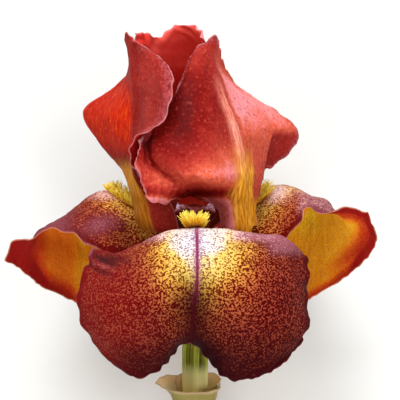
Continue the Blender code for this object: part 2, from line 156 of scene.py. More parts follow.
# Cages of the petals as in part.py: (across, up, away) as seen at the flower's axis
FALL_FRONT = [
    [(-3.7, -14.1, -3.6), (-3.3, -14.5, -4.3), (-2.8, -14.8, -4.7), (-2.3, -14.9, -5), (-1.7, -15, -5.1),
     (-1.1, -14.9, -5), (-0.6, -14.8, -4.7), (-0.1, -14.5, -4.3), (0.3, -14.1, -3.6)],
    [(-6.7, -11.6, -10.4), (-5.6, -12.2, -11.2), (-4.4, -12.7, -11.8), (-3.1, -13, -12.2),
     (-1.7, -13.1, -12.3), (-0.3, -13, -12.2), (1, -12.7, -11.8), (2.2, -12.2, -11.2),
     (3.3, -11.6, -10.4)],
    [(-30.5, -18.8, -17.5), (-24.5, -18, -18.5), (-17, -15.8, -20), (-9, -12.4, -21.5),
     (-1.5, -11.2, -22.5), (6.5, -11.8, -21.8), (14.5, -12.9, -20.5), (22.5, -14.3, -18.5),
     (30, -16.3, -15.5)],
    [(-35, -16, -24), (-29, -18, -27.5), (-20.7, -15.2, -31), (-11.3, -11.2, -34.5), (-1.3, -10.3, -36),
     (8.7, -10.5, -35), (18.7, -11.8, -31.5), (28, -12.7, -27), (35, -18.7, -21)],
    [(-38.3, -22, -29.5), (-30.7, -22.3, -37), (-21.3, -21, -43), (-11.3, -20, -46.5), (-1.2, -19.7, -46),
     (9, -19.7, -46.5), (19.3, -20, -43.5), (29, -20.7, -36), (36.3, -24, -27.5)],
    [(-40.7, -30, -32.5), (-32.3, -30.3, -42), (-22, -29.7, -49), (-11.3, -29.3, -51.5),
     (-1.3, -28.7, -49.5), (9.3, -29, -51.5), (20, -29, -49), (30, -28.7, -41), (35.8, -29, -30)],
    [(-40.8, -36, -33), (-32.3, -38.3, -43), (-22, -38.3, -49.5), (-12, -37.7, -51), (-2.3, -36, -48),
     (9.3, -37, -51), (19.7, -37.7, -49), (29.3, -36.7, -42), (35.7, -34, -31)],
    [(-39, -41.7, -32), (-31.3, -46, -39.5), (-22, -47.7, -45.5), (-12.7, -46.7, -46.5), (-3, -43, -44.5),
     (9.3, -45.3, -47.5), (19, -47, -46), (28, -45.3, -40.5), (36.5, -40, -31)],
    [(-35.7, -47.3, -29.5), (-30.7, -53.7, -33.5), (-22, -58.8, -37.5), (-14, -57, -38.5),
     (-3.7, -47.6, -39), (8.7, -59.3, -40), (19.3, -59, -39), (27.7, -54.3, -35.5), (34.3, -46.3, -29)],
]
FALL_LEFT = [
    [(-6.4, -13.9, 0), (-6.5, -13.6, 0.9), (-6.4, -13.3, 1.8), (-6.1, -13, 2.6), (-5.6, -12.8, 3.2),
     (-5, -12.7, 3.7), (-4.3, -12.6, 4.1)],
    [(-16.5, -14, -1), (-15.6, -11, 1.4), (-14.3, -9, 3.7), (-13, -8.4, 5.4), (-11.9, -7.5, 7.1),
     (-10.7, -6.4, 9), (-9.4, -5.2, 10.6)],
    [(-25.8, -19, -8.5), (-25, -12.5, -4), (-23, -6, 2), (-20.7, -3.6, 9), (-16, -3.4, 16),
     (-10.5, -5.3, 22.5), (-5.8, -11, 26)],
    [(-36.2, -15.6, -12), (-35.3, -9.3, -6), (-33.8, -2.6, 3), (-31, 2.6, 14), (-25.5, 2, 25),
     (-17.5, -3, 36), (-10.2, -10.5, 45)],
    [(-43, -10.8, -11.5), (-44, -8, -5), (-43.8, -5, 6), (-41, -3, 21), (-33.5, -3, 34), (-24, -6.5, 46),
     (-15, -12.5, 53)],
    [(-52, -9.9, -9.5), (-52.8, -9.7, -1.5), (-50, -9.6, 11), (-42, -13, 27), (-35, -14, 38),
     (-26.5, -15.5, 47), (-18, -16.5, 53)],
    [(-56.4, -13.2, -8.2), (-56, -16, -0.5), (-50.8, -18, 11.5), (-41, -20.5, 27), (-34, -21.5, 37),
     (-26.5, -23, 44.5), (-19.5, -23.5, 49)],
    [(-62.8, -14, -6.3), (-59.6, -19.3, 0.8), (-52, -24.2, 12), (-41.3, -28.5, 26), (-35, -30, 34.5),
     (-28, -30.5, 40.5), (-21.5, -30, 43.5)],
    [(-64.9, -20.6, -3.5), (-60.6, -22.6, 2), (-53, -28.7, 12), (-42.3, -33.8, 24.5), (-36.5, -36, 32),
     (-30, -35.5, 37), (-23.5, -33.5, 39.5)],
]
FALL_RIGHT = [
    [(3, -13.9, 0), (3.1, -13.6, 0.9), (3, -13.3, 1.8), (2.7, -13, 2.6), (2.2, -12.8, 3.2),
     (1.6, -12.7, 3.7), (0.9, -12.6, 4.1)],
    [(12, -7.9, 1.2), (11.5, -8.4, 2.4), (10.7, -8.6, 3.9), (9.6, -8.4, 5.4), (8.7, -7.8, 6.8),
     (7.5, -6.6, 8.8), (6.2, -5.2, 10.6)],
    [(24.5, -15, -8.5), (22.5, -9.5, -4), (20.5, -4.5, 3), (17.8, -1.5, 10), (13.5, -1.8, 17),
     (8.2, -4.8, 22.5), (3, -11, 26)],
    [(32.3, -8.4, -12), (31.5, -4, -6), (30, 1, 3), (27, 4.6, 15), (21.5, 3.5, 26), (15, -2.8, 36.5),
     (8, -10.5, 45)],
    [(36.3, -2.7, -12), (37.3, -1, -5), (37.3, 1, 6), (35, 1.2, 19), (28, 0.2, 32), (20.5, -5.5, 45.5),
     (13, -12, 53)],
    [(42, -4.8, -11), (42.8, -2.8, -4), (42.8, -1.6, 7), (38, -7, 26), (31, -9.5, 37), (24, -13.5, 47),
     (16.8, -15.5, 53.5)],
    [(48.8, -2.3, -9), (50.5, -8, -1), (47, -15, 11), (37.5, -21.5, 26.5), (30, -23, 36), (24, -25, 42),
     (18.5, -26, 46)],
    [(56, -4, -6), (58.8, -14.5, 0), (50, -24.7, 11), (36.7, -32.7, 25), (31.5, -36, 32),
     (26.5, -35.5, 37), (21.5, -33, 39.5)],
]
STANDARD_LEFT = [
    [(-6.2, -13.7, -0.5), (-5.9, -13.9, -1), (-5.6, -14.1, -1.6), (-5.3, -14.3, -2.1), (-5, -14.4, -2.6),
     (-4.7, -14.6, -3.1), (-4.4, -14.7, -3.6)],
    [(-11.4, -7.7, -3.2), (-11.1, -8, -4.2), (-10.6, -8.3, -5.2), (-9.9, -8.5, -6.1), (-9.4, -8.7, -7.1),
     (-8.5, -8.8, -8.4), (-7.4, -8.9, -9.6)],
    [(-20, -9.3, -6), (-19.2, -9.6, -8.5), (-18, -9.8, -11), (-16.5, -9.9, -13), (-14, -10, -14.5),
     (-10.5, -9.9, -15.2), (-7, -9.5, -15.2)],
    [(-22.6, 0, -4.5), (-22, 0, -7.5), (-21, 0, -10.5), (-19.5, 0, -13), (-17, 0, -14.6), (-14, 0, -15.2),
     (-10.5, 0, -14.5)],
    [(-26, 10, 2), (-24.9, 9.4, -2.5), (-23.5, 9, -7.5), (-22.3, 9.3, -12), (-22.2, 9.8, -14.5),
     (-22.2, 10.4, -17), (-22.2, 11, -19)],
    [(-33.5, 18.8, 9), (-30, 18.6, 3), (-26, 18.4, -5), (-22, 18.4, -12), (-21.7, 19, -15.5),
     (-22, 19.7, -19.4), (-22, 20.3, -22.6)],
    [(-39, 29.5, 14), (-34, 28.5, 7), (-28.3, 28.2, -3), (-21.5, 29.3, -12), (-18, 27.8, -20),
     (-15, 26.5, -26), (-12.7, 25.8, -30)],
    [(-29, 37.2, 9), (-26.8, 37.5, 4.5), (-24.5, 38, -3), (-22, 38.3, -11), (-16.7, 38.3, -20),
     (-12.6, 38, -26.5), (-9, 37.7, -30)],
    [(-22.1, 44.8, 2), (-22.9, 45.7, -1), (-23.6, 46.6, -5), (-22.9, 47.3, -9), (-19, 47.3, -15.5),
     (-15, 46.7, -20.5), (-10.5, 44.5, -24)],
    [(-24.6, 52.2, -2.5), (-25, 53.6, -4), (-25, 55, -6), (-24.3, 56, -8), (-22.3, 53.5, -11.5),
     (-19.7, 51.8, -14.5), (-16, 49.5, -18)],
]
STANDARD_RIGHT = [
    [(1, -14.7, -3.6), (1.2, -14.6, -3.3), (1.4, -14.5, -2.9), (1.6, -14.4, -2.5), (1.9, -14.3, -2.1),
     (2.1, -14.2, -1.7), (2.4, -14, -1.3), (2.6, -13.9, -0.9), (2.8, -13.7, -0.5)],
    [(4.9, -9, -9), (5.3, -8.9, -8.4), (5.7, -8.8, -7.7), (6.1, -8.7, -6.9), (6.5, -8.5, -6.1),
     (7, -8.4, -5.4), (7.4, -8.2, -4.7), (7.7, -8, -3.9), (8, -7.7, -3.2)],
    [(7.3, -10, -10), (8.2, -10.1, -11.8), (9.3, -10.2, -13.2), (11, -10.3, -13.8), (13.5, -10.3, -12.8),
     (15.3, -10.3, -11), (16.8, -10.2, -9), (18, -10, -7), (19, -9.8, -5)],
    [(5, -2, -8), (6, -1.9, -11.5), (7.5, -1.8, -14.8), (10, -1.7, -17), (13.5, -1.7, -15.5),
     (15.8, -1.7, -12.5), (17.5, -1.7, -9.5), (18.8, -1.7, -6.8), (19.7, -1.7, -4)],
    [(-4, 1.5, -12), (-2, 2.2, -15), (2, 2.8, -19), (8, 3.4, -22), (13.6, 3.4, -17.5), (16.2, 3.4, -13),
     (18, 3.4, -9.5), (19.5, 3.6, -5.7), (20.7, 3.8, -2)],
    [(-15.7, -1, -25.5), (-8.2, 3.8, -25.5), (-3, 7.2, -30.5), (6, 6.7, -29.5), (14, 8, -17.5),
     (17, 8.2, -12), (19, 8.5, -8), (20.5, 8.9, -4), (21.5, 9.3, 0)],
    [(-19.3, 5, -26), (-12.7, 8, -25), (-6, 9.5, -31), (4, 10, -30.5), (13.7, 11, -17), (17.2, 11, -10.5),
     (20, 10.8, -5), (22.3, 10.5, 0), (24, 10.2, 4)],
    [(-21.4, 11.6, -25.5), (-16.8, 11, -24), (-9, 13.5, -30), (2, 15, -29.5), (13, 16.5, -16),
     (17.2, 16.3, -9), (20.9, 15.6, -2.5), (24.3, 14.5, 4), (28.2, 13.2, 9)],
    [(-21.1, 16.7, -23.9), (-18, 15.5, -22.8), (-10.5, 18, -28), (1.5, 20, -27.5), (12, 21, -15.8),
     (17.5, 20.8, -8.5), (22.5, 20.2, -0.5), (27, 19.2, 6.5), (32.2, 17.6, 12)],
    [(-19.3, 20.3, -21.2), (-17.5, 21, -22), (-9.3, 23.3, -26.5), (0.7, 25.3, -25.5), (10.7, 26, -15.5),
     (16.2, 25.6, -8.5), (22, 24.8, -1), (28, 23.6, 7), (33.4, 21.8, 14)],
    [(-11, 30, -20.5), (-9.3, 32, -21.3), (-5, 34.3, -22.2), (1, 35.4, -21), (7.3, 36, -15),
     (11.5, 34.8, -9.5), (16, 33, -3), (21, 30.8, 4.5), (28, 27.8, 12)],
    [(-6, 40, -18), (-4.8, 42, -18.4), (-2.5, 44.2, -18.4), (1, 45.4, -17.3), (4.3, 45.4, -13),
     (5.8, 44.4, -9.5), (7.4, 42.6, -5.5), (9.8, 40, 0), (14, 36.4, 7)],
    [(-3.3, 46.7, -14), (-2, 49.3, -14.1), (0, 51.8, -13.5), (2.8, 53.4, -12), (5, 55, -10),
     (5.8, 53, -7.8), (6.5, 50, -5.2), (7.5, 45.8, -2), (9.5, 41, 3)],
]
STANDARD_BACK = [
    [(-3.5, -13.2, 3.6), (-2.9, -13.1, 3.8), (-2.3, -13, 3.9), (-1.7, -13, 4), (-1.1, -13, 3.9),
     (-0.5, -13.1, 3.8), (0.1, -13.2, 3.6)],
    [(-9.8, -5.8, 6.2), (-6.8, -5.6, 7.5), (-4, -5.5, 8), (-1.7, -5.7, 8.2), (0.6, -5.7, 7.9),
     (3.9, -5.8, 6.9), (7.6, -5.6, 5.2)],
    [(-8.6, -1.6, 13.2), (-6.4, -2.3, 14.3), (-4, -2.8, 15), (-1.7, -3, 15.2), (0.6, -2.8, 15),
     (3, -2.3, 14.3), (5.2, -1.6, 13.2)],
    [(-10.8, 5, 14.5), (-8, 4.8, 16.4), (-5, 4.6, 17.8), (-1.7, 4.5, 18.5), (1.6, 4.6, 17.8),
     (4.6, 4.8, 16.4), (7.4, 5, 14.5)],
    [(-23, 13.4, 6.5), (-17.5, 13.3, 13.5), (-10, 13.4, 18), (-1.7, 13.4, 20), (6, 13.4, 18),
     (12, 13.2, 14), (16.5, 13, 8.5)],
    [(-24, 24, 4), (-18.5, 24, 13), (-10.8, 24, 19), (-1.7, 24, 21), (7, 24, 19), (13.5, 24, 13.5),
     (17, 24, 7)],
    [(-21, 36, 2), (-17.5, 36.7, 11), (-10.5, 37, 18), (-2.5, 37, 20), (4.5, 36.8, 17.5), (8, 36.5, 12.5),
     (8.8, 36, 7.5)],
    [(-19.8, 46, -1), (-15.5, 47, 6), (-9.5, 48, 12), (-3.5, 48.5, 14), (0.8, 48, 12), (2.8, 47.3, 8),
     (2.9, 46.5, 3)],
    [(-21.5, 55.8, -2.5), (-17.3, 55.5, 1.5), (-13.3, 54, 4), (-9, 57.5, 5), (-3.5, 58.5, 5),
     (-0.5, 57, 3), (0.8, 54, 0.5)],
]


# Numbers and noise

def soft(value, low, high):
    """A smooth step from 0 at low to 1 at high."""
    share = np.clip((value - low) / (high - low), 0, 1)
    return share * share * (3 - 2 * share)


def hill(value, centre, width):
    """A smooth hill of height 1 around centre."""
    return np.exp(-(((value - centre) / width) ** 2))


def wander(x, y, seed):
    """Smooth noise from -1 to 1 with one cell per unit."""
    table = np.random.RandomState(seed).uniform(-1, 1, (64, 64))
    left, low = np.floor(x).astype(int), np.floor(y).astype(int)
    rightward, upward = soft(x - left, 0, 1), soft(y - low, 0, 1)
    left, low = left % 64, low % 64
    right, high = (left + 1) % 64, (low + 1) % 64
    bottom = table[left, low] * (1 - rightward) + table[right, low] * rightward
    top = table[left, high] * (1 - rightward) + table[right, high] * rightward
    return bottom * (1 - upward) + top * upward


def spline_weights(samples, points):
    """Weights that read a smooth curve through the points at evenly spaced samples."""
    # A further point beyond each end lies in line with the last two
    longer = np.pad(np.eye(points), ((1, 1), (0, 0)))
    longer[0, :2] = 2, -1
    longer[-1, -2:] = -1, 2
    place = np.linspace(0, points - 1, samples)[:, None]
    first = np.minimum(place.astype(int), points - 2)
    t = place - first
    before = -0.5 * t + t * t - 0.5 * t ** 3
    here = 1 - 2.5 * t * t + 1.5 * t ** 3
    after = 0.5 * t + 2 * t * t - 1.5 * t ** 3
    beyond = -0.5 * t * t + 0.5 * t ** 3
    first = first[:, 0]
    return (before * longer[first] + here * longer[first + 1]
            + after * longer[first + 2] + beyond * longer[first + 3])


def unit(vectors):
    length = np.linalg.norm(vectors, axis=-1, keepdims=True)
    return vectors / np.maximum(length, 1e-9)


def travelled(points, axis):
    """How far each point of a grid lies from the first one, along one way of the grid."""
    steps = np.linalg.norm(np.diff(points, axis=axis), axis=-1)
    return np.insert(np.cumsum(steps, axis=axis), 0, 0, axis=axis)


def circle(sides):
    """The angles of a ring's points."""
    return 2 * math.pi * np.arange(sides) / sides


# Sheets and meshes

class Sheet:
    """A grid of points in millimetres, with how far each lies from midrib, foot and rim."""

    def __init__(self, cage, rows, columns, viewed=True):
        cage = np.array(cage, float)
        down = spline_weights(rows, cage.shape[0])
        over = spline_weights(columns, cage.shape[1])
        self.points = np.einsum("ij,jkc,lk->ilc", down, cage, over)
        self.across, self.up, self.away = np.moveaxis(self.points, -1, 0)
        if viewed:
            spread = 1 + self.away / VIEW_DISTANCE
            self.points = np.stack([self.across * spread, self.away, self.up * spread], -1)
        self.u, self.v = np.meshgrid(np.linspace(-1, 1, columns), np.linspace(0, 1, rows))
        width = travelled(self.points, 1)
        self.run = travelled(self.points, 0)
        self.mid = width - width[:, columns // 2][:, None]
        self.rim_side = np.minimum(width, width[:, -1:] - width)
        self.rim_tip = self.run[-1:] - self.run
        self.rim = np.minimum(self.rim_side, self.rim_tip)

    def directions(self):
        """Unit vectors across the sheet, along it and away from its face."""
        across, along = np.gradient(self.points, axis=1), np.gradient(self.points, axis=0)
        return unit(across), unit(along), unit(np.cross(across, along))

    def noise(self, wide, long, seed):
        """Noise with cells of this size across the sheet and along it."""
        return wander(self.mid / wide, self.run / long, seed)

    def push(self, height):
        """Moves each point along the sheet's normal."""
        self.points = self.points + self.directions()[2] * height[..., None]

    def settle(self):
        """Lifts what would lie below the floor, as a petal bends where it rests."""
        upward = np.array(POSE.to_3x3())[2]
        depth = PETAL_CLEARANCE - (self.points @ upward + POSE.translation[2])
        lift = 0.5 * (depth + np.sqrt(depth ** 2 + SETTLE_BLEND ** 2))
        self.points = self.points + (lift * (depth > -SETTLE_REACH))[..., None] * upward

    def fray(self, amount, wavelength, reach, seed, tip_only=False):
        """Moves the rim in and out within the sheet."""
        side = wander(self.run / wavelength, self.u * 0.5 + 7.3, seed) * np.sign(self.u)
        side = side * np.exp(-self.rim_side / reach) * soft(self.v, 0.1, 0.3)
        tip = wander(self.mid / wavelength + 11.7, np.full_like(self.v, 3.1), seed + 5)
        tip = tip * np.exp(-self.rim_tip / reach)
        across, along = self.directions()[:2]
        if not tip_only:
            self.points = self.points + (amount * side)[..., None] * across
        self.points = self.points + (amount * tip)[..., None] * along


def grid_quads(rows, columns, start, turned):
    index = start + np.arange(rows * columns).reshape(rows, columns)
    corners = [index[:-1, :-1], index[:-1, 1:], index[1:, 1:], index[1:, :-1]]
    if turned:
        corners.reverse()
    return np.stack([corner.ravel() for corner in corners], 1)


def rim_loop(rows, columns):
    """Grid indices once around the rim."""
    index = np.arange(rows * columns).reshape(rows, columns)
    return np.concatenate([index[0, :-1], index[:-1, -1], index[-1, :0:-1], index[:0:-1, 0]])


def tube_quads(index):
    """Faces between the rings of a limb, from the grid of its points' indices."""
    after = np.roll(index, -1, 1)
    return np.stack([index[:-1], after[:-1], after[1:], index[1:]], -1).reshape(-1, 4)


def added(name, data):
    made = bpy.data.objects.new(name, data)
    bpy.context.scene.collection.objects.link(made)
    return made


def mesh_object(name, points, faces, matrix, attributes, loop_uv=None):
    """A smooth mesh from points in millimetres of a frame, with float attributes."""
    turn, shift = np.array(matrix.to_3x3()), np.array(matrix.translation)
    mesh = bpy.data.meshes.new(name)
    mesh.from_pydata(((points @ turn.T + shift) * MM).tolist(), [], faces)
    mesh.polygons.foreach_set("use_smooth", np.ones(len(faces), bool))
    for key, values in attributes.items():
        layer = mesh.attributes.new(key, "FLOAT", "POINT")
        layer.data.foreach_set("value", np.asarray(values, np.float32).ravel())
    if loop_uv is not None:
        layer = mesh.uv_layers.new(name="OFBake")
        layer.data.foreach_set("uv", loop_uv.astype(np.float32).ravel())
    mesh.update()
    return added(name, mesh)


def shell(name, sheet, thickness, matrix, zones, face=-1.0):
    """A closed thin shell around a sheet. face is 1 or -1: the side that side = 0 marks."""
    rows, columns = sheet.run.shape
    count = rows * columns
    half = 0.5 * face * thickness[..., None] * sheet.directions()[2]
    points = np.stack([sheet.points + half, sheet.points - half]).reshape(-1, 3)
    grids = np.concatenate([
        grid_quads(rows, columns, 0, face < 0),
        grid_quads(rows, columns, count, face > 0),
    ])
    loop = rim_loop(rows, columns)
    after = np.roll(loop, -1)
    rim = np.stack([loop, loop + count, after + count, after], 1)

    # In the bake's picture the two faces lie side by side, and the rim is a strip above them
    left, right = BAKE_EDGE, 1.0 - BAKE_EDGE
    across = np.linspace(left, 0.5 - 3.0 * BAKE_EDGE, columns)
    along = np.linspace(left, BAKE_RIM - 3.0 * BAKE_EDGE, rows)
    flat = np.stack(np.meshgrid(across, along), -1).reshape(-1, 2)
    places = np.concatenate([flat, flat + (0.5 + BAKE_EDGE, 0.0)])
    share = np.linspace(left, right, len(loop) + 1)
    corners = [(share[:-1], BAKE_RIM), (share[:-1], right), (share[1:], right), (share[1:], BAKE_RIM)]
    strip = np.stack([np.stack([u, np.full_like(u, v)], 1) for u, v in corners], 1)
    if face < 0:
        rim, strip = rim[:, ::-1], strip[:, ::-1]
    loop_uv = np.concatenate([places[grids.ravel()], strip.reshape(-1, 2)])

    attributes = {"side": np.repeat((0.0, 1.0), count)}
    for key, values in {"rim": sheet.rim, "mid": sheet.mid, "run": sheet.run, **zones}.items():
        attributes[key] = np.tile(np.broadcast_to(values, (rows, columns)).ravel(), 2)
    faces = np.concatenate([grids, rim]).tolist()
    return mesh_object(name, points, faces, matrix, attributes, loop_uv)


def loft(name, rings, matrix, attributes):
    """A closed solid through rings of points, with a fan of faces at each end."""
    count, sides = rings.shape[:2]
    points = np.concatenate([rings.reshape(-1, 3), rings[:1].mean(1), rings[-1:].mean(1)])
    index = np.arange(count * sides).reshape(count, sides)
    after = np.roll(index, -1, 1)
    foot = np.stack([after[0], index[0], np.full(sides, count * sides)], 1)
    tip = np.stack([index[-1], after[-1], np.full(sides, count * sides + 1)], 1)
    faces = tube_quads(index).tolist() + foot.tolist() + tip.tolist()
    return mesh_object(name, points, faces, matrix, attributes)


def fitted(piece, node, material):
    piece.data.materials.append(material)
    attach(piece, "root")
    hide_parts(node)


# Materials. A colour is (red, green, blue) on the screen, each from 0 to 255

def paint(*colour):
    """A screen colour as a linear one."""
    linear = []
    for part in colour:
        share = part / 255.0
        linear.append(share / 12.92 if share <= 0.04045 else ((share + 0.055) / 1.055) ** 2.4)
    return (*linear, 1.0)


class Field:
    """What a node gives. Fields are added, subtracted and multiplied as numbers are."""

    def __init__(self, finish, socket):
        self.finish = finish
        self.socket = socket

    def __add__(self, other):
        return self.finish.maths("ADD", self, other)

    def __sub__(self, other):
        return self.finish.maths("SUBTRACT", self, other)

    def __mul__(self, other):
        return self.finish.maths("MULTIPLY", self, other)

    def step(self, low, high):
        """0 below low and 1 above high, with a smooth way between."""
        settings = {"interpolation_type": "SMOOTHSTEP"}
        return self.finish.node("ShaderNodeMapRange", 0, settings, i0=self, i1=low, i2=high)

    def ramp(self, *stops):
        """Colours from stops of (place, red, green, blue), or numbers from (place, number)."""
        made = self.finish.node("ShaderNodeValToRGB", "Color", i0=self)
        elements = made.socket.node.color_ramp.elements
        while len(elements) < len(stops):
            elements.new(1.0)
        for element, (place, *tone) in zip(elements, stops):
            element.position = place
            element.color = paint(*tone) if len(tone) == 3 else (*tone * 3, 1.0)
        return made

    def cover(self, share, other):
        """This colour with a share of another one over it."""
        return self.finish.blend(share, self, other)

    def bump(self, strength, distance, ground=None):
        """The normals of a surface with this relief, on top of another relief's normals."""
        more = {"Normal": ground} if ground else {}
        return self.finish.node(
            "ShaderNodeBump", "Normal", Height=self, Strength=strength, Distance=distance * MM, **more
        )


class Finish:
    """A node material that is built up step by step."""

    def __init__(self, name, roughness):
        self.material = bpy.data.materials.new(name)
        self.material.use_nodes = True
        self.tree = self.material.node_tree
        self.shader = self.tree.nodes["Principled BSDF"]
        self.shader.inputs["Roughness"].default_value = roughness
        self.shader.inputs["Specular IOR Level"].default_value = 0.035
        self.place = self.node("ShaderNodeTexCoord", "Object")

    def node(self, kind, output=0, settings=None, **inputs):
        """A node's output. An input is called by its name, or i and its number."""
        made = self.tree.nodes.new(kind)
        for key, value in (settings or {}).items():
            setattr(made, key, value)
        for key, value in inputs.items():
            socket = made.inputs[int(key[1:]) if key[1:].isdigit() else key]
            if isinstance(value, Field):
                self.tree.links.new(value.socket, socket)
            else:
                socket.default_value = paint(*value) if isinstance(value, tuple) else value
        return Field(self, made.outputs[output])

    def values(self, names):
        """The mesh attributes of these names."""
        settings = [{"attribute_name": name} for name in names.split()]
        return [self.node("ShaderNodeAttribute", "Fac", setting) for setting in settings]

    def maths(self, operation, first, second=0.0):
        return self.node("ShaderNodeMath", 0, {"operation": operation}, i0=first, i1=second)

    def blend(self, share, first, second):
        return self.node("ShaderNodeMix", 2, {"data_type": "RGBA"}, i0=share, i6=first, i7=second)

    def noise(self, size, detail=2.0, roughness=0.5, place=None, distortion=0.0):
        """Noise with features of about this size, in millimetres."""
        return self.node(
            "ShaderNodeTexNoise", "Fac", Vector=place or self.place, Scale=1.0 / (size * MM),
            Detail=detail, Roughness=roughness, Distortion=distortion,
        )

    def strokes(self, wide, long, detail=2.0):
        """Noise that follows the petal: fine across it and stretched along it."""
        mid, run = self.values("mid run")
        mid = self.maths("DIVIDE", mid, wide / MM)
        run = self.maths("DIVIDE", run, long / MM)
        place = self.node("ShaderNodeCombineXYZ", 0, X=mid, Y=run)
        return self.noise(1.0, detail, 0.6, place)

    def cells(self, size):
        """How far each place lies from the middle of its cell."""
        return self.node("ShaderNodeTexVoronoi", "Distance", Vector=self.place, Scale=1.0 / (size * MM))

    def finish(self, colour, normal=None, glow=0.0, through=None):
        """Sets the colour, and lets a share of the light through in its own colour."""
        link = self.tree.links.new
        link(colour.socket, self.shader.inputs["Base Color"])
        if normal:
            link(normal.socket, self.shader.inputs["Normal"])
        if glow:
            solid = Field(self, self.shader.outputs[0])
            lit = self.node("ShaderNodeBsdfTranslucent", Color=through or colour)
            mixed = self.node("ShaderNodeMixShader", i0=glow, i1=solid, i2=lit)
            link(mixed.socket, self.tree.nodes["Material Output"].inputs["Surface"])
        return self.material


def fall_finish(name):
    """Stippled maroon, yellow and white above, and golden orange with a red margin below."""
    made = Finish(name, 0.55)
    glow, plum, lilac, flush, dusk = made.values("glow plum lilac flush dusk")
    rim, mid, side, line, ember = made.values("rim mid side line ember")
    stipple = made.noise(0.62, 1.5, distortion=0.3)
    grain = made.noise(0.5, 2.0, 0.6)

    reach = glow + (made.noise(9.0) - 0.5) * 0.35
    # Lilac: the petal's own lilac by the beard, and painted highlights on crests, lips, ridges and rims
    light = reach.ramp(
        (0.0, 238, 232, 236), (0.19, 236, 226, 214), (0.28, 234, 208, 112), (0.42, 228, 174, 72),
        (0.56, 202, 128, 60), (0.70, 180, 92, 52), (1.0, 156, 64, 46),
    ).cover(lilac, (244, 214, 220))
    dark = reach.ramp(
        (0.0, 150, 126, 160), (0.19, 144, 104, 116), (0.29, 142, 84, 14), (0.45, 112, 34, 4),
        (0.62, 96, 8, 2), (1.0, 82, 3, 4),
    ).cover(flush, (128, 14, 16)).cover(lilac, (176, 108, 124))
    level = reach.ramp(
        (0.0, 0.44), (0.22, 0.455), (0.32, 0.47), (0.45, 0.50), (0.65, 0.525), (0.85, 0.53), (1.0, 0.55)
    )
    level = level + rim.step(4.5, 0.5) * 0.16 + plum * 0.2 - lilac * 0.06
    patches = (made.noise(2.6, 1.0) - 0.5) * 0.12
    dots = (stipple - level + patches).step(-0.03, 0.03)
    # Painted shade: near-black in the hollows, the creases and the fall's lower part
    upper = made.blend(dots, dark, light).cover(dusk * 0.98, (40, 4, 8))
    # Plum: the petal's own plum bloom, and a painted sheen where the surface turns away
    upper = upper.cover(plum * 0.75, grain.ramp((0.35, 114, 42, 54), (0.65, 178, 108, 118)))

    beside = made.maths("ABSOLUTE", mid)
    drawn = line.step(0.0, 0.3)
    tint = line.ramp((0.2, 150, 40, 96), (0.5, 112, 12, 40), (1.0, 60, 6, 14))
    upper = upper.cover(beside.step(1.0, 0.4) * drawn, tint)
    flecks = beside.step(2.6, 0.6) * grain.step(0.58, 0.44) * drawn
    upper = upper.cover(flecks * 0.8, made.blend(line, (150, 70, 124), (70, 8, 16)))
    frost = rim.step(0.5, 0.0)
    upper = upper.cover(frost * 0.2, (220, 130, 120))

    veins = made.strokes(1.1, 9.0)
    plain = made.maths("SUBTRACT", 1.0, ember)
    # The gold below is the petal's own colour, painted brighter as light shining through it
    under = ember.ramp(
        (0.0, 246, 224, 4), (0.22, 255, 192, 10), (0.48, 248, 136, 8), (0.70, 214, 64, 12),
        (0.86, 184, 24, 16), (1.0, 146, 16, 18),
    )
    under = under.cover(stipple.step(0.42, 0.58) * 0.6 * plain, (250, 196, 84))
    under = under.cover(grain.step(0.52, 0.40) * 0.6 * plain, (196, 76, 8))
    under = under.cover(veins.step(0.52, 0.36) * 0.12, (170, 84, 10))
    under = under.cover(frost * 0.5, (240, 190, 150))
    below = side.step(0.3, 0.7)
    colour = made.blend(below, upper, under)
    normal = veins.bump(0.25, 0.3, made.noise(0.9, 2.0, 0.6).bump(0.5, 0.35))
    return made.finish(colour, normal, 0.3, colour.cover(below * 0.4 + 0.02, (255, 170, 40)))


def standard_finish(name):
    """Brick red to coral sheets with a golden, brown-veined haft and midrib."""
    made = Finish(name, 0.5)
    coral, blaze, mauve, haft, umber = made.values("coral blaze mauve haft umber")
    rib, rim, side = made.values("rib rim side")
    veins = made.strokes(0.9, 14.0)
    strokes = made.strokes(0.8, 4.0, 2.5)
    cloth = made.noise(1.1, 3.0, 0.65)

    warm = coral + (made.noise(8.0) - 0.5) * 0.3 + (cloth - 0.5) * 0.45
    outer = warm.ramp(
        (0.0, 84, 12, 14), (0.25, 132, 22, 18), (0.50, 176, 54, 44), (0.75, 220, 100, 72),
        (1.0, 252, 160, 164),
    )
    red = strokes.ramp((0.30, 182, 14, 2), (0.50, 214, 40, 2), (0.72, 240, 86, 12))
    # A painted glow, orange-red, as of light shining through the petal from behind
    outer = outer.cover(blaze * 0.92, red)
    # A painted mauve sheen along the margins and high on the right standard
    outer = outer.cover(mauve * 0.75, cloth.ramp((0.35, 128, 46, 56), (0.62, 196, 118, 126)))
    threads = veins * 0.45 + strokes * 0.55
    gold = threads.ramp(
        (0.34, 158, 86, 10), (0.45, 212, 138, 26), (0.57, 246, 180, 52), (0.70, 252, 208, 116)
    ).cover(umber * 0.7, (132, 32, 4))
    outer = outer.cover(rib, made.blend(threads.step(0.38, 0.62), (232, 118, 96), (252, 182, 158)))
    outer = outer.cover(haft, gold)
    outer = outer.cover(cloth.step(0.58, 0.74) * 0.24, (240, 140, 110))
    specks = made.noise(1.3, 2.0, 0.6).step(0.42, 0.32) * 0.45 * haft.step(0.6, 0.1)
    outer = outer.cover(specks, (120, 22, 30))

    inner = (coral + strokes * 0.5).ramp(
        (0.10, 112, 14, 14), (0.45, 186, 34, 28), (0.80, 218, 54, 46), (1.0, 234, 90, 78)
    ).cover(haft, gold)
    colour = made.blend(side.step(0.3, 0.7), inner, outer)
    colour = colour.cover(rim.step(0.7, 0.1) * 0.55, (214, 146, 148))
    normal = veins.bump(0.35, 0.35, cloth.bump(0.45, 0.35))
    return made.finish(colour, normal, 0.3, colour.cover(0.35, (255, 90, 60)))


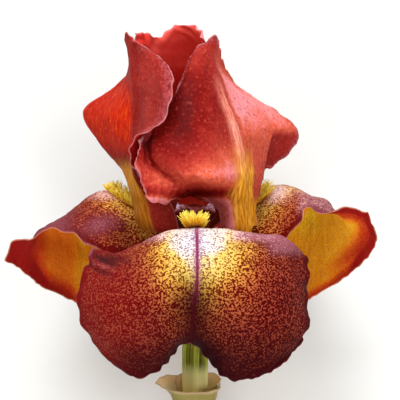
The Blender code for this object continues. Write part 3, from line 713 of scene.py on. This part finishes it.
def beard_finish(name):
    made = Finish(name, 0.6)
    tip, shade = made.values("tip shade")
    colour = tip.ramp((0.0, 232, 160, 66), (0.25, 248, 186, 34), (0.55, 255, 222, 48), (1.0, 255, 246, 124))
    return made.finish(colour.cover(shade * 0.28, (240, 164, 20)), glow=0.35)


def style_finish(name):
    made = Finish(name, 0.5)
    strokes = made.strokes(0.8, 6.0)
    body = strokes.ramp((0.30, 92, 22, 20), (0.55, 138, 44, 34), (0.75, 172, 78, 54))
    crest = made.noise(0.8).ramp((0.35, 150, 90, 110), (0.60, 205, 170, 195))
    return made.finish(body.cover(*made.values("crest"), crest), strokes.bump(0.4, 0.3), 0.2)


def stamen_finish(name):
    made = Finish(name, 0.7)
    grains = made.cells(0.35)
    # The stalk and the pollen are muted: their own colours, painted darker too as shade in the flower's
    # heart
    dust = grains.ramp((0.0, 206, 178, 116), (0.5, 168, 132, 84))
    thread = made.noise(1.2).ramp((0.35, 150, 92, 78), (0.65, 120, 60, 54))
    return made.finish(thread.cover(*made.values("dust"), dust), grains.bump(0.6, 0.2))


def stalk_finish(name, pale, middling, deep, foot=None):
    """Waxy green with fine lengthwise ribs and a pale bloom. foot is the colour of a pale foot."""
    made = Finish(name, 0.45)
    ridge, run, cut = made.values("ridge run cut")
    # Ribs are painted lighter on their crests and darker in their grooves, as painted light and shade
    lines = made.strokes(0.7, 26.0, 3.0) + ridge * 0.12
    colour = lines.ramp((0.28, *deep), (0.5, *middling), (0.74, *pale))
    colour = colour.cover(made.noise(7.0, 3.0).step(0.45, 0.75) * 0.45, pale)
    if foot:
        colour = colour.cover(run.step(16.0, 8.0) * 0.8, foot)
    pith = made.blend(made.cells(0.55).step(0.10, 0.35), (150, 160, 96), (214, 216, 168))
    return made.finish(colour.cover(cut, pith), lines.bump(0.3, 0.3))


def spathe_finish(name):
    """Papery: olive outside and pale inside, with faint veins, a light band and a dry rim."""
    made = Finish(name, 0.65)
    run, rim, side = made.values("run rim side")
    outside = side.step(0.3, 0.7)
    veins = made.strokes(0.8, 30.0)
    height = run.step(6.0, 30.0) + (made.noise(5.0, 3.0, 0.6) - 0.5) * 0.9
    outer = height.ramp(
        (0.0, 112, 112, 48), (0.35, 124, 122, 58), (0.65, 138, 132, 74), (1.0, 154, 142, 86)
    )
    # The inside is painted near-white, as light that comes through the paper
    inner = height.ramp((0.0, 226, 240, 150), (0.5, 250, 255, 196), (1.0, 255, 244, 216))
    colour = made.blend(outside, inner, outer)
    colour = colour.cover(veins.step(0.50, 0.30) * 0.3, (150, 140, 84))
    colour = colour.cover(rim.step(4.0, 1.4) * (outside * -0.3 + 0.6), (255, 222, 196))
    colour = colour.cover(rim.step(0.6, 0.0) * 0.5, (160, 112, 80))
    normal = made.noise(1.5, 3.0, 0.6).bump(0.3, 0.25, veins.bump(0.5, 0.3))
    return made.finish(colour, normal, 0.4, made.blend(outside, (255, 248, 200), (176, 166, 96)))


# Petals

def crinkle(sheet, seed, coarse=0.22, fine=0.06):
    """Small uneven folds all over a petal, in layers that get finer and weaker."""
    folds = sheet.noise(4.5, 4.5, seed) + 0.5 * sheet.noise(2.25, 2.25, seed + 1)
    return folds * coarse + sheet.noise(1.1, 1.3, seed + 9) * fine


def ruffle(sheet, height, wavelength, reach, seed):
    """Waves along the rim that die out inwards."""
    drift = 1.3 * wander(sheet.run / 13, sheet.mid / 17, seed)
    path = np.where(sheet.rim_side < sheet.rim_tip, sheet.run, np.abs(sheet.mid) + sheet.run)
    wave = np.sin(2 * math.pi * path / wavelength + 2.6 * drift + 2 * sheet.u)
    return height * wave * np.exp(-sheet.rim / reach) * soft(sheet.v, 0.15, 0.4)


def petal(name, cage, face, shape, zones_of, thicknesses, look, finish):
    """A petal from its cage. Its zones are shares from 0 to 1 that its finish reads."""
    sheet = Sheet(cage, *PETAL_GRID)
    shape(sheet)
    edge, body, midrib = thicknesses
    thickness = edge + (body - edge) * soft(sheet.rim, 0, 4)
    thickness = thickness + midrib * hill(sheet.mid, 0, 1.6) * soft(sheet.rim_tip, 2, 20)
    zones = zones_of(sheet, sheet.across, sheet.up)
    zones = {key: np.clip(values, 0, 1) for key, values in zones.items()}
    made = shell("petal_" + name, sheet, thickness, POSE, zones, face)
    fitted(made, name, finish("petal_" + name + "_skin"))


def ear_folds(sheet):
    """A ridge and two creases that run from the left corner of the crest into the blade."""
    heading = np.subtract(EAR_END, EAR_START)
    length = np.linalg.norm(heading)
    heading = heading / length
    right, rise = sheet.across - EAR_START[0], sheet.up - EAR_START[1]
    share = (right * heading[0] + rise * heading[1]) / length
    left = rise * heading[0] - right * heading[1]
    left = left + 0.7 * np.sin(4.5 * share) + 0.35 * sheet.noise(1.6, 1.6, 6)
    window = soft(share, -0.15, 0.1) * soft(share, 1.3, 0.7)
    ridge = hill(left, 0, 0.7) * (0.65 + 0.5 * sheet.noise(1.2, 1.2, 7))
    crease = hill(left, 2, 1.1) + 0.9 * hill(left, -1.8, 0.9)
    return np.maximum(ridge, 0) * window, crease * window


def fall_front_shape(sheet):
    # An ear rolls up at the left corner of the crest, and the midrib lies in a groove
    ridge, crease = ear_folds(sheet)
    sheet.push(crinkle(sheet, 3))
    sheet.push(ruffle(sheet, 0.45, 8.5, 2.4, 4))
    sheet.push(0.7 * hill(sheet.mid, 0, 1.1) * soft(sheet.v, 0.3, 0.45))
    sheet.push(0.9 * crease - 1 * ridge)
    sheet.fray(0.32, 1.3, 1, 5)
    sheet.settle()


def fall_side_shape(sheet):
    sheet.push(crinkle(sheet, 13))
    sheet.push(ruffle(sheet, 0.4, 9.5, 2.4, 14))
    sheet.fray(0.3, 1.7, 1, 15)
    sheet.settle()


# Zones of a fall. Above: glow, the way from the white signal to maroon; plum bloom and lilac, with
# painted sheen and painted highlights; a crimson flush; painted shade in the hollows; the midrib's line.
# Below: ember, the red margin

def fall_front_zones(sheet, across, up):
    rim = sheet.rim
    ridge, crease = ear_folds(sheet)
    beside = np.abs(across + 1.2) * (1 + 0.2 * soft(across, -1, -9))
    down = -10 - up
    glow = np.sqrt((beside / 38) ** 2 + (np.maximum(down - 1.5, 0) / 40) ** 2)
    glow = glow + 0.16 * soft(beside, 9, 30) + 0.1 * soft(down, 12, 40)
    glow = glow + 0.4 * soft(sheet.away, -33, -27)
    # The lips, the crest, the ear's ridge and the corner's rim are painted sheen and highlights
    right_lip = soft(across, 20, 27) * soft(up, -20.5, -13)
    past_ear = soft(across, -29, -24)
    crest = 0.6 * soft(beside, 10, 20) * soft(up, -16.5, -12.5) * past_ear
    top_lip = soft(beside, 9, 14) * soft(up, -15, -12.5) * past_ear
    lips = 0.75 * right_lip * hill(up, -16, 4) + 0.8 * top_lip
    corner_rim = soft(rim, 1.1, 0.3) * soft(across, -21, -25) * soft(up, -21.5, -19.5)
    # Painted shade in the ear's trough, at the bottom of the blade, in the midrib's valley and in the
    # creases
    trough = hill(across, -29, 6) * hill(up + 0.12 * (across + 29), -19.8, 1.5)
    bottom = soft(-up, 43, 54) * soft(across, -38, -20)
    bottom = np.maximum(bottom, soft(-up, 36, 56) * soft(across, 2, 14))
    valley = soft(down, 9, 24) * hill(across, -2, 8)
    return {
        "glow": glow - 0.04,
        "plum": np.maximum(np.maximum(right_lip, crest), 0.15 * crease),
        "ember": 0.9 * soft(rim, 14, 1) + 0.05,
        "line": 0.3 + 0.7 * soft(down, 9, 27) - 0.12 * soft(down, 3, -1),
        "lilac": 0.12 * ridge + 0.5 * corner_rim + lips,
        "flush": 0.9 * soft(across, -8, -34),
        "dusk": (bottom + 1.15 * valley + 0.8 * crease + 0.9 * trough) / 1.4,
    }


def fall_side_zones(sheet):
    """Zones that both side falls share."""
    run = sheet.run
    glow = 0.42 + 0.5 * soft(run, 24, 50) + 0.3 * soft(np.abs(sheet.mid), 6, 20)
    return {
        "glow": np.minimum(glow, 1),
        "plum": 0.4 * soft(run, 34, 48) * soft(run, 72, 52) * hill(sheet.mid, 0, 32),
        "line": 0,
        "dusk": 0,
        "flush": 0.3,
    }


def fall_left_zones(sheet, across, up):
    rim = sheet.rim
    shared = fall_side_zones(sheet)
    # Painted highlights on the crest and the rim, a painted sheen, and painted shade by the haft
    crest = hill(across, -31, 5) * soft(up, -1.5, 1.5)
    sheen = hill(across, -33.5, 5.5) * hill(up, -8.5 + 0.25 * (across + 33.5), 3)
    sheen = sheen * soft(sheet.away, 12, 6)
    lip = soft(across, -38, -48) * soft(up, -15, -11)
    olive = hill(across, -39.2, 3)
    low_rim = soft(rim, 7.5, 1) * (1 - 0.6 * hill(up, -10, 5))
    return shared | {
        "lilac": 0.6 * crest + 0.35 * soft(rim, 0.9, 0.1),
        "plum": np.maximum(shared["plum"], np.maximum(sheen, 0.6 * lip)),
        "dusk": 0.5 * hill(across, -25, 5) * soft(up, -4, -9),
        "ember": 0.56 - 0.36 * olive + 0.44 * soft(-across, 49.5, 57.5) + 0.42 * low_rim,
    }


def fall_right_zones(sheet, across, up):
    rim = sheet.rim
    shared = fall_side_zones(sheet)
    # The crest and the rolled margin get painted highlights; the lilac near the beard is its own
    crest = soft(up, 0, 3.5) * soft(across, 37, 30)
    near_beard = hill(across, 24, 4.5) * soft(up, -3, 2)
    roll = soft(across, 31, 35) * soft(up, -7, -3)
    tongue = hill(across, 36.5, 5) * hill(up, -6, 7)
    margin = soft(across, 37, 48) * soft(up, -28, -16) * soft(rim, 11, 4)
    ember = 0.27 - 0.27 * tongue + 0.1 * soft(-up, 18, 30) + 0.6 * margin
    return shared | {
        "lilac": 0.12 * crest + 0.95 * near_beard + 0.35 * roll,
        "glow": shared["glow"] - 0.12 - 0.1 * crest,
        "ember": ember + 0.5 * soft(rim, 4, 0.5),
    }


def standard_left_shape(sheet):
    sheet.push(crinkle(sheet, 23, 0.2, 0.05))
    sheet.push(ruffle(sheet, 0.4, 7, 2, 24) * soft(sheet.u, -0.6, 0.4))
    sheet.fray(0.2, 1.8, 1, 25)


def recurved_lobe(sheet):
    """The right margin's lobe that turns back, beyond a fold."""
    fold = 24 - 0.22 * (23 - sheet.up)
    return soft(sheet.across - fold, 0, 1) * soft(sheet.up, 24, 20.5)


def standard_right_shape(sheet):
    across, up, u = sheet.across, sheet.up, sheet.u
    calm = 1 - 0.8 * hill(across, 32, 7) * hill(up, 20, 9)
    clump = hill(across, -13, 5.5) * hill(up, 3.5, 5.5)
    folds = sheet.noise(1.9, 2.3, 35) + 0.5 * sheet.noise(0.9, 1, 36)
    band = soft(u, -0.70, -0.80) * soft(up, 24, 18) * soft(up, -3, 2)
    groove = hill(u, -0.735, 0.045) * soft(up, 24, 20) * soft(up, 6, 12)
    sheet.push(crinkle(sheet, 33, 0.25, 0.05))
    sheet.push(calm * ruffle(sheet, 0.45, 8, 2.2, 34))
    sheet.push(1.1 * clump * folds)
    sheet.push(band * (0.5 + 0.35 * sheet.noise(1, 1.2, 38)))
    sheet.push(-1.6 * groove)
    sheet.push(-1.3 * recurved_lobe(sheet))
    sheet.fray(0.3, 1.8, 1, 37)


def standard_back_shape(sheet):
    sheet.push(crinkle(sheet, 43, 0.3, 0.06))
    sheet.push(ruffle(sheet, 0.7, 6, 3, 44))
    sheet.fray(0.5, 1.8, 1.2, 45)


# Zones of a standard: coral, from brick red to pink, with painted shade and painted light in places,
# an orange-red glow painted as light shining through, a painted mauve sheen, a golden haft that
# umber darkens, and a pale rib

def standard_left_zones(sheet, across, up):
    # A painted glow where light shines through the left half, brightest in its middle
    blaze = soft(across, -21, -23.5) * soft(up, 11, 23) * soft(up, 44, 37)
    front = soft(across, -22, -18) * soft(up, 14, 20)
    column = soft(up, 3, -4) * soft(sheet.u, 0.05, 0.35)
    haft = soft(up, 15, 8) * soft(sheet.u, 0.35, 0.05)
    return {
        "coral": 0.32 + 0.06 * front - 0.16 * soft(up, 24, 6) * (1 - front) + 0.3 * column,
        "blaze": blaze * (0.55 + 0.45 * hill(across, -25.5, 6.5) * hill(up, 26, 9)),
        "mauve": front * (0.05 + 0.5 * soft(sheet.rim, 6, 1)),
        "haft": haft,
        "rib": 0,
        "umber": 0.7 * haft * soft(up, 8, -2),
    }


def standard_right_zones(sheet, across, up):
    mid, u = sheet.mid, sheet.u
    right = soft(mid, 0, 5)
    # The right half is pink, pinkest high up: its own colour and a painted highlight where light falls
    pink = 0.56 + 0.36 * hill(up, 32, 9) + 0.1 * hill(up, 16, 8)
    brick = 0.23 + 0.34 * hill(up, 8.5, 5.5) + 0.32 * soft(across, -8, 9) * hill(up, 14, 13)
    brick = brick + 0.2 * soft(up, 36, 48) - 0.2 * hill(across, -4.5, 4.5) * hill(up, 30, 10)
    # Painted shade: darker low down, under the pouch
    brick = brick - 0.3 * soft(up, 5.5, 2)
    upper_right = hill(mid, 5, 6) * hill(up, 36, 8)
    # The recurved lobe is painted darker, as shade under its overhanging margin
    coral = right * pink + (1 - right) * brick + 0.35 * upper_right - 0.34 * recurved_lobe(sheet)
    below_tip = soft(up, 24, 20)
    band = soft(u, -0.72, -0.80) * below_tip * soft(up, -3, 0)
    groove = hill(u, -0.70, 0.05) * below_tip * soft(up, 4, 10)
    # Painted shade in the band's groove and at the left margin's top, beside the left standard
    coral = coral - 0.06 * band - 0.3 * groove - 0.12 * soft(u, -0.5, -0.9) * soft(up, 24, 32)
    clump = hill(across, -12.5, 6) * hill(up, 1, 6)
    # The strip by the haft is painted far lighter, as painted light where the pouch shades it
    strip = soft(up, 2.5, -1) * soft(u, -0.12, -0.3)
    haft = soft(up, 3, -3) * soft(u, -0.3, -0.14)
    wide_gold = soft(mid, -7.5, -1) * soft(mid, 8.5, 6.8) * soft(up, 22, 5)
    edge = 0.2 + 2 * soft(up, 36, 20)
    mauve = np.maximum(0.6 * soft(sheet.rim, 3, 0.3) * soft(up, 5, 12), 0.1 * strip)
    return {
        "coral": coral + 1.5 * strip + 0.42 * clump,
        "blaze": 0,
        "mauve": np.maximum(mauve * (1 - band), 0.3 * upper_right),
        "haft": np.maximum(haft, wide_gold) * (1 - strip),
        "rib": 0.85 * soft(mid, -4.5, -0.3) * soft(mid - edge, 0.6, -0.6) * soft(up, 44, 30),
        "umber": 0,
    }


def standard_back_zones(sheet, across, up):
    # Painted shade low down in the gap between the standards, and painted light at the top as light shining
    # through
    return {
        "coral": 0.05 + 0.95 * soft(up, 35, 50) * (1 - 0.45 * soft(-across, 13, 18)),
        "blaze": 0,
        "mauve": 0,
        "haft": 0.6 * soft(up, 2, -10),
        "rib": 0.3 * hill(sheet.mid, 0, 1.5),
        "umber": 1,
    }


def petals():
    fall = (FALL_THICKNESS, "fall_maroon", fall_finish)
    petal("fall_front", FALL_FRONT, -1, fall_front_shape, fall_front_zones, *fall)
    petal("fall_left", FALL_LEFT, 1, fall_side_shape, fall_left_zones, *fall)
    petal("fall_right", FALL_RIGHT, -1, fall_side_shape, fall_right_zones, *fall)
    standard = (STANDARD_THICKNESS, "standard_red", standard_finish)
    petal("standard_left", STANDARD_LEFT, -1, standard_left_shape, standard_left_zones, *standard)
    petal("standard_right", STANDARD_RIGHT, -1, standard_right_shape, standard_right_zones, *standard)
    petal("standard_back", STANDARD_BACK, 1, standard_back_shape, standard_back_zones, *standard)


# The heart of the flower

def beard(side, matrix, lift, hair_length, reach):
    """Hundreds of tapered hairs that fan out from a strip along the fall's midrib."""
    draw = np.random.RandomState(len(side) * 7 + 1)
    row = np.array(BEARD_ROW) + (0, lift, 0)
    line = spline_weights(200, len(row)) @ row
    share = np.linspace(0, 1, HAIR_RINGS)[:, None]
    angle = circle(HAIR_SIDES)
    hairs, shades = [], []
    for _ in range(HAIRS):
        outward, height, radius = line[int(draw.uniform(0, 199) * reach)]
        sideways = draw.uniform(-1, 1)
        foot = np.array([sideways * (radius - 0.2), -outward, height - radius * (0.75 + 0.1 * draw.rand())])
        lean = unit(np.array([sideways * 0.45 + draw.normal(0, 0.17), -0.25 + draw.normal(0, 0.3), 1]))
        length = (2 * radius + 0.7) * draw.uniform(0.55, 1.15) * hair_length
        bend = np.array([sideways * 0.4, -0.5 * draw.rand(), -0.2])
        thick = draw.uniform(0.16, 0.24)
        shades.append(draw.rand())
        first = unit(np.cross(lean, [0.3, 1, 0.2]))
        ring = np.outer(np.cos(angle), first) + np.outer(np.sin(angle), np.cross(lean, first))
        centre = foot + length * (lean * share + 0.25 * bend * share ** 2)
        size = thick * (1 - 0.55 * share ** 1.5)
        hairs.append(centre[:, None] + size[:, None] * ring)
    index = np.arange(HAIR_RINGS * HAIR_SIDES).reshape(HAIR_RINGS, HAIR_SIDES)
    faces = np.concatenate([tube_quads(index), index[:1, ::-1], index[-1:]])
    faces = faces + index.size * np.arange(HAIRS)[:, None, None]
    attributes = {
        "tip": np.tile(np.repeat(share, HAIR_SIDES), HAIRS),
        "shade": np.repeat(shades, index.size),
    }
    points = np.array(hairs).reshape(-1, 3)
    made = mesh_object(f"hairs_beard_{side}", points, faces.reshape(-1, 4).tolist(), matrix, attributes)
    fitted(made, f"beard_{side}", beard_finish(f"beard_{side}_hair"))


def style_arm(side, matrix):
    """A strap with two frilled crests at its end and a split between them."""
    rows = [
        [(share * wide, -outward, height - droop * share ** 2) for share in (-1, -0.5, 0, 0.5, 1)]
        for outward, height, wide, droop in STYLE_ARM_ROWS
    ]
    sheet = Sheet(rows, *STYLE_ARM_GRID, viewed=False)
    end = soft(sheet.v, 0.78, 0.92)
    crest = end * (0.15 + 0.85 * soft(np.abs(sheet.u), 0.45, 0.85))
    sheet.push(0.7 * sheet.noise(1.2, 3, 51) * end + crinkle(sheet, 52, 0.12, 0.04))
    sheet.points[..., 2] -= 3 * hill(sheet.mid, 0, 2.6) * soft(sheet.v, 0.78, 1)
    sheet.fray(0.7, 1, 1, 53, tip_only=True)
    thickness = 0.35 + 0.45 * soft(sheet.rim, 0, 3)
    made = shell(f"sheet_style_arm_{side}", sheet, thickness, matrix, {"crest": crest})
    fitted(made, f"style_arm_{side}", style_finish(f"style_arm_{side}_skin"))


def stamen(side, matrix):
    """A thin stalk that carries a long anther with a groove and a dusting of pollen."""
    path = spline_weights(STAMEN_RINGS, len(STAMEN_POINTS)) @ np.array(STAMEN_POINTS)
    outward, height, radius = path.T[..., None]
    forward, rise = unit(np.gradient(path[:, :2], axis=0)).T[..., None]
    angle = circle(STAMEN_SIDES)
    anther = soft(outward, 8.8, 9.8)
    groove = 1 - 0.22 * anther * hill(np.sin(angle), 1, 0.25)
    wide = radius * np.cos(angle) * (1 + 0.1 * anther)
    tall = radius * np.sin(angle) * groove * (1 - 0.15 * anther)
    rings = np.stack([wide, -outward + tall * rise, height + tall * forward], -1)
    dust = np.append(np.broadcast_to(anther, wide.shape), (0, 1))
    made = loft(f"loft_stamen_{side}", rings, matrix, {"dust": dust, "mid": dust, "run": dust})
    fitted(made, f"stamen_{side}", stamen_finish(f"stamen_{side}_skin"))


def heart():
    for side, (turn, lift, hair_length, reach) in THIRDS.items():
        matrix = AXIS @ Matrix.Rotation(math.radians(turn), 4, "Z")
        beard(side, matrix, lift, hair_length, reach)
        style_arm(side, matrix)
        stamen(side, matrix)


# Tube, ovary, stem and bracts

def stalk(node, material, profile, ribs, rib_depth, bend=0, steps=90):
    """A ribbed round limb along the axis, from (radius, height) points. Only the stem is cut off."""
    path = spline_weights(steps, len(profile)) @ np.array(profile)
    radius, height = path.T[..., None]
    angle = circle(STALK_SIDES)
    ridge = np.cos(ribs * (angle + math.pi / 2))
    rib = 1 + rib_depth * (ridge - 0.6) + 0.012 * np.sin(17 * angle + height * 0.11)
    shift = bend * ((STEM_TOP - height) / (STEM_TOP - STEM_CUT)) ** 2
    rings = np.stack([
        shift + radius * rib * np.cos(angle),
        radius * rib * np.sin(angle),
        np.broadcast_to(height, rib.shape),
    ], -1)
    cut = np.zeros(rib.size + 2)
    if node == "stem":
        cut[:STALK_SIDES] = 1
        cut[-2] = 1
    grids = {
        "mid": radius * np.abs(angle - math.pi),
        "run": height - height[0],
        "ridge": ridge * rib_depth / STALK_RIB,
    }
    attributes = {key: np.append(np.broadcast_to(grid, rib.shape), (0, 0)) for key, grid in grids.items()}
    attributes["cut"] = cut
    fitted(loft("limb_" + node, rings, AXIS, attributes), node, material)


def stalks():
    # The tube's greens are its own olive, painted darker too as shade under the falls
    green = stalk_finish("perianth_tube_skin", (160, 164, 74), (86, 88, 22), (46, 40, 4))
    stalk("perianth_tube", green, [
        (TUBE_WAIST_RADIUS, TUBE_FOOT),
        (TUBE_WAIST_RADIUS, TUBE_FOOT + 6),
        (TUBE_WAIST_RADIUS, TUBE_TOP - 14),
        (TUBE_TOP_RADIUS - 0.8, TUBE_TOP - 5),
        (TUBE_TOP_RADIUS, TUBE_TOP),
    ], 3, 0.05)
    olive = stalk_finish("ovary_skin", (146, 150, 62), (86, 86, 20), (46, 40, 4), (226, 222, 156))
    stalk("ovary", olive, [
        (STEM_RADIUS - 0.4, OVARY_FOOT),
        (OVARY_RADIUS, OVARY_FOOT + 8),
        (OVARY_RADIUS, OVARY_TOP - 8),
        (TUBE_WAIST_RADIUS, OVARY_TOP + OVARY_OVERLAP),
    ], 6, STALK_RIB)
    pale = stalk_finish("stem_skin", (186, 196, 136), (146, 166, 92), (108, 134, 62))
    stalk("stem", pale, [
        (STEM_RADIUS, STEM_CUT),
        (STEM_RADIUS, STEM_CUT + 19),
        (STEM_RADIUS, STEM_CUT + 38),
        (STEM_RADIUS, STEM_TOP),
    ], 11, 0.012, STEM_BEND, 120)


def spathe(node, facing, clasp_radius, foot_radius, lip_radius, seed):
    """A papery bract that clasps the stem at its foot, with a flared lip."""
    rows = []
    for rise in (0, 0.12, 0.3, 0.6, 0.8, 0.92, 1):
        row = []
        for share in (-1, -0.67, -0.33, 0, 0.33, 0.67, 1):
            angle = math.radians(facing) + SPATHE_WRAP * share
            top = SPATHE_TIP - SPATHE_EDGE_DROP * share ** 2
            curl = SPATHE_RIGHT_CURL if share > 0 else SPATHE_LEFT_CURL
            flare = (lip_radius - foot_radius) * rise ** 9 * (1 - curl * share ** 2)
            radius = foot_radius + flare if rise > 0 else clasp_radius
            height = SPATHE_FOOT + (top - SPATHE_FOOT) * rise
            row.append((radius * math.cos(angle), radius * math.sin(angle), height))
        rows.append(row)
    sheet = Sheet(rows, *SPATHE_GRID, viewed=False)
    creases = 0.28 * sheet.noise(2.4, 14, seed) * soft(sheet.v, 0.1, 0.5)
    sheet.push(creases + crinkle(sheet, seed + 1, 0.15, 0.05) * soft(sheet.v, 0.1, 0.3))
    sheet.fray(0.5, 2.2, 1.4, seed + 2)
    thickness = 0.28 + 0.12 * soft(sheet.rim, 0, 3)
    made = shell("sheet_" + node, sheet, thickness, AXIS, {})
    fitted(made, node, spathe_finish(node + "_paper"))


def spathes():
    for node, measures in SPATHES.items():
        spathe(node, *measures)


# The stage

def floor():
    ticks = np.linspace(-FLOOR_REACH, FLOOR_REACH, FLOOR_STEPS + 1)
    points = np.array([(x, y, 0) for y in ticks for x in ticks])
    faces = grid_quads(FLOOR_STEPS + 1, FLOOR_STEPS + 1, 0, False).tolist()
    made = mesh_object("floor", points, faces, Matrix(), {})
    look = Finish("floor_paper", 0.8)
    tone = look.noise(60).ramp((0.3, 205, 205, 201), (0.7, 211, 211, 208))
    made.data.materials.append(look.finish(tone))


def camera():
    data = bpy.data.cameras.new("camera")
    data.sensor_width = SENSOR
    data.lens = SENSOR * VIEW_DISTANCE / (2 * HALF_VIEW)
    data.clip_start = 0.01
    data.clip_end = 20
    made = added("camera", data)
    place = POSE @ Matrix.Translation((0, -VIEW_DISTANCE, 0)) @ Matrix.Rotation(math.pi / 2, 4, "X")
    place.translation *= MM
    made.matrix_world = place
    bpy.context.scene.camera = made


def softbox(name, place, target, size, power):
    """A square area light, placed and aimed in the viewing frame, in millimetres."""
    data = bpy.data.lights.new(name, "AREA")
    data.shape = "SQUARE"
    data.size = size * MM
    data.energy = power
    made = added(name, data)
    start, end = POSE @ Vector(place), POSE @ Vector(target)
    made.location = start * MM
    made.rotation_euler = (end - start).to_track_quat("-Z", "Y").to_euler()


def light():
    softbox("key", (-120, -360, 560), (0, 0, 0), 420, 6.6)
    softbox("fill", (420, -500, 60), (0, 0, -10), 600, 2.2)
    softbox("low", (-40, -460, -420), (0, 0, -20), 420, 2.8)
    world = bpy.data.worlds.new("studio")
    world.use_nodes = True
    ground = world.node_tree.nodes["Background"]
    ground.inputs["Color"].default_value = (0.95, 0.97, 1, 1)
    ground.inputs["Strength"].default_value = 0.42
    bpy.context.scene.world = world


petals()
heart()
stalks()
spathes()
floor()
camera()
light()
bpy.context.scene.view_settings.view_transform = "Standard"
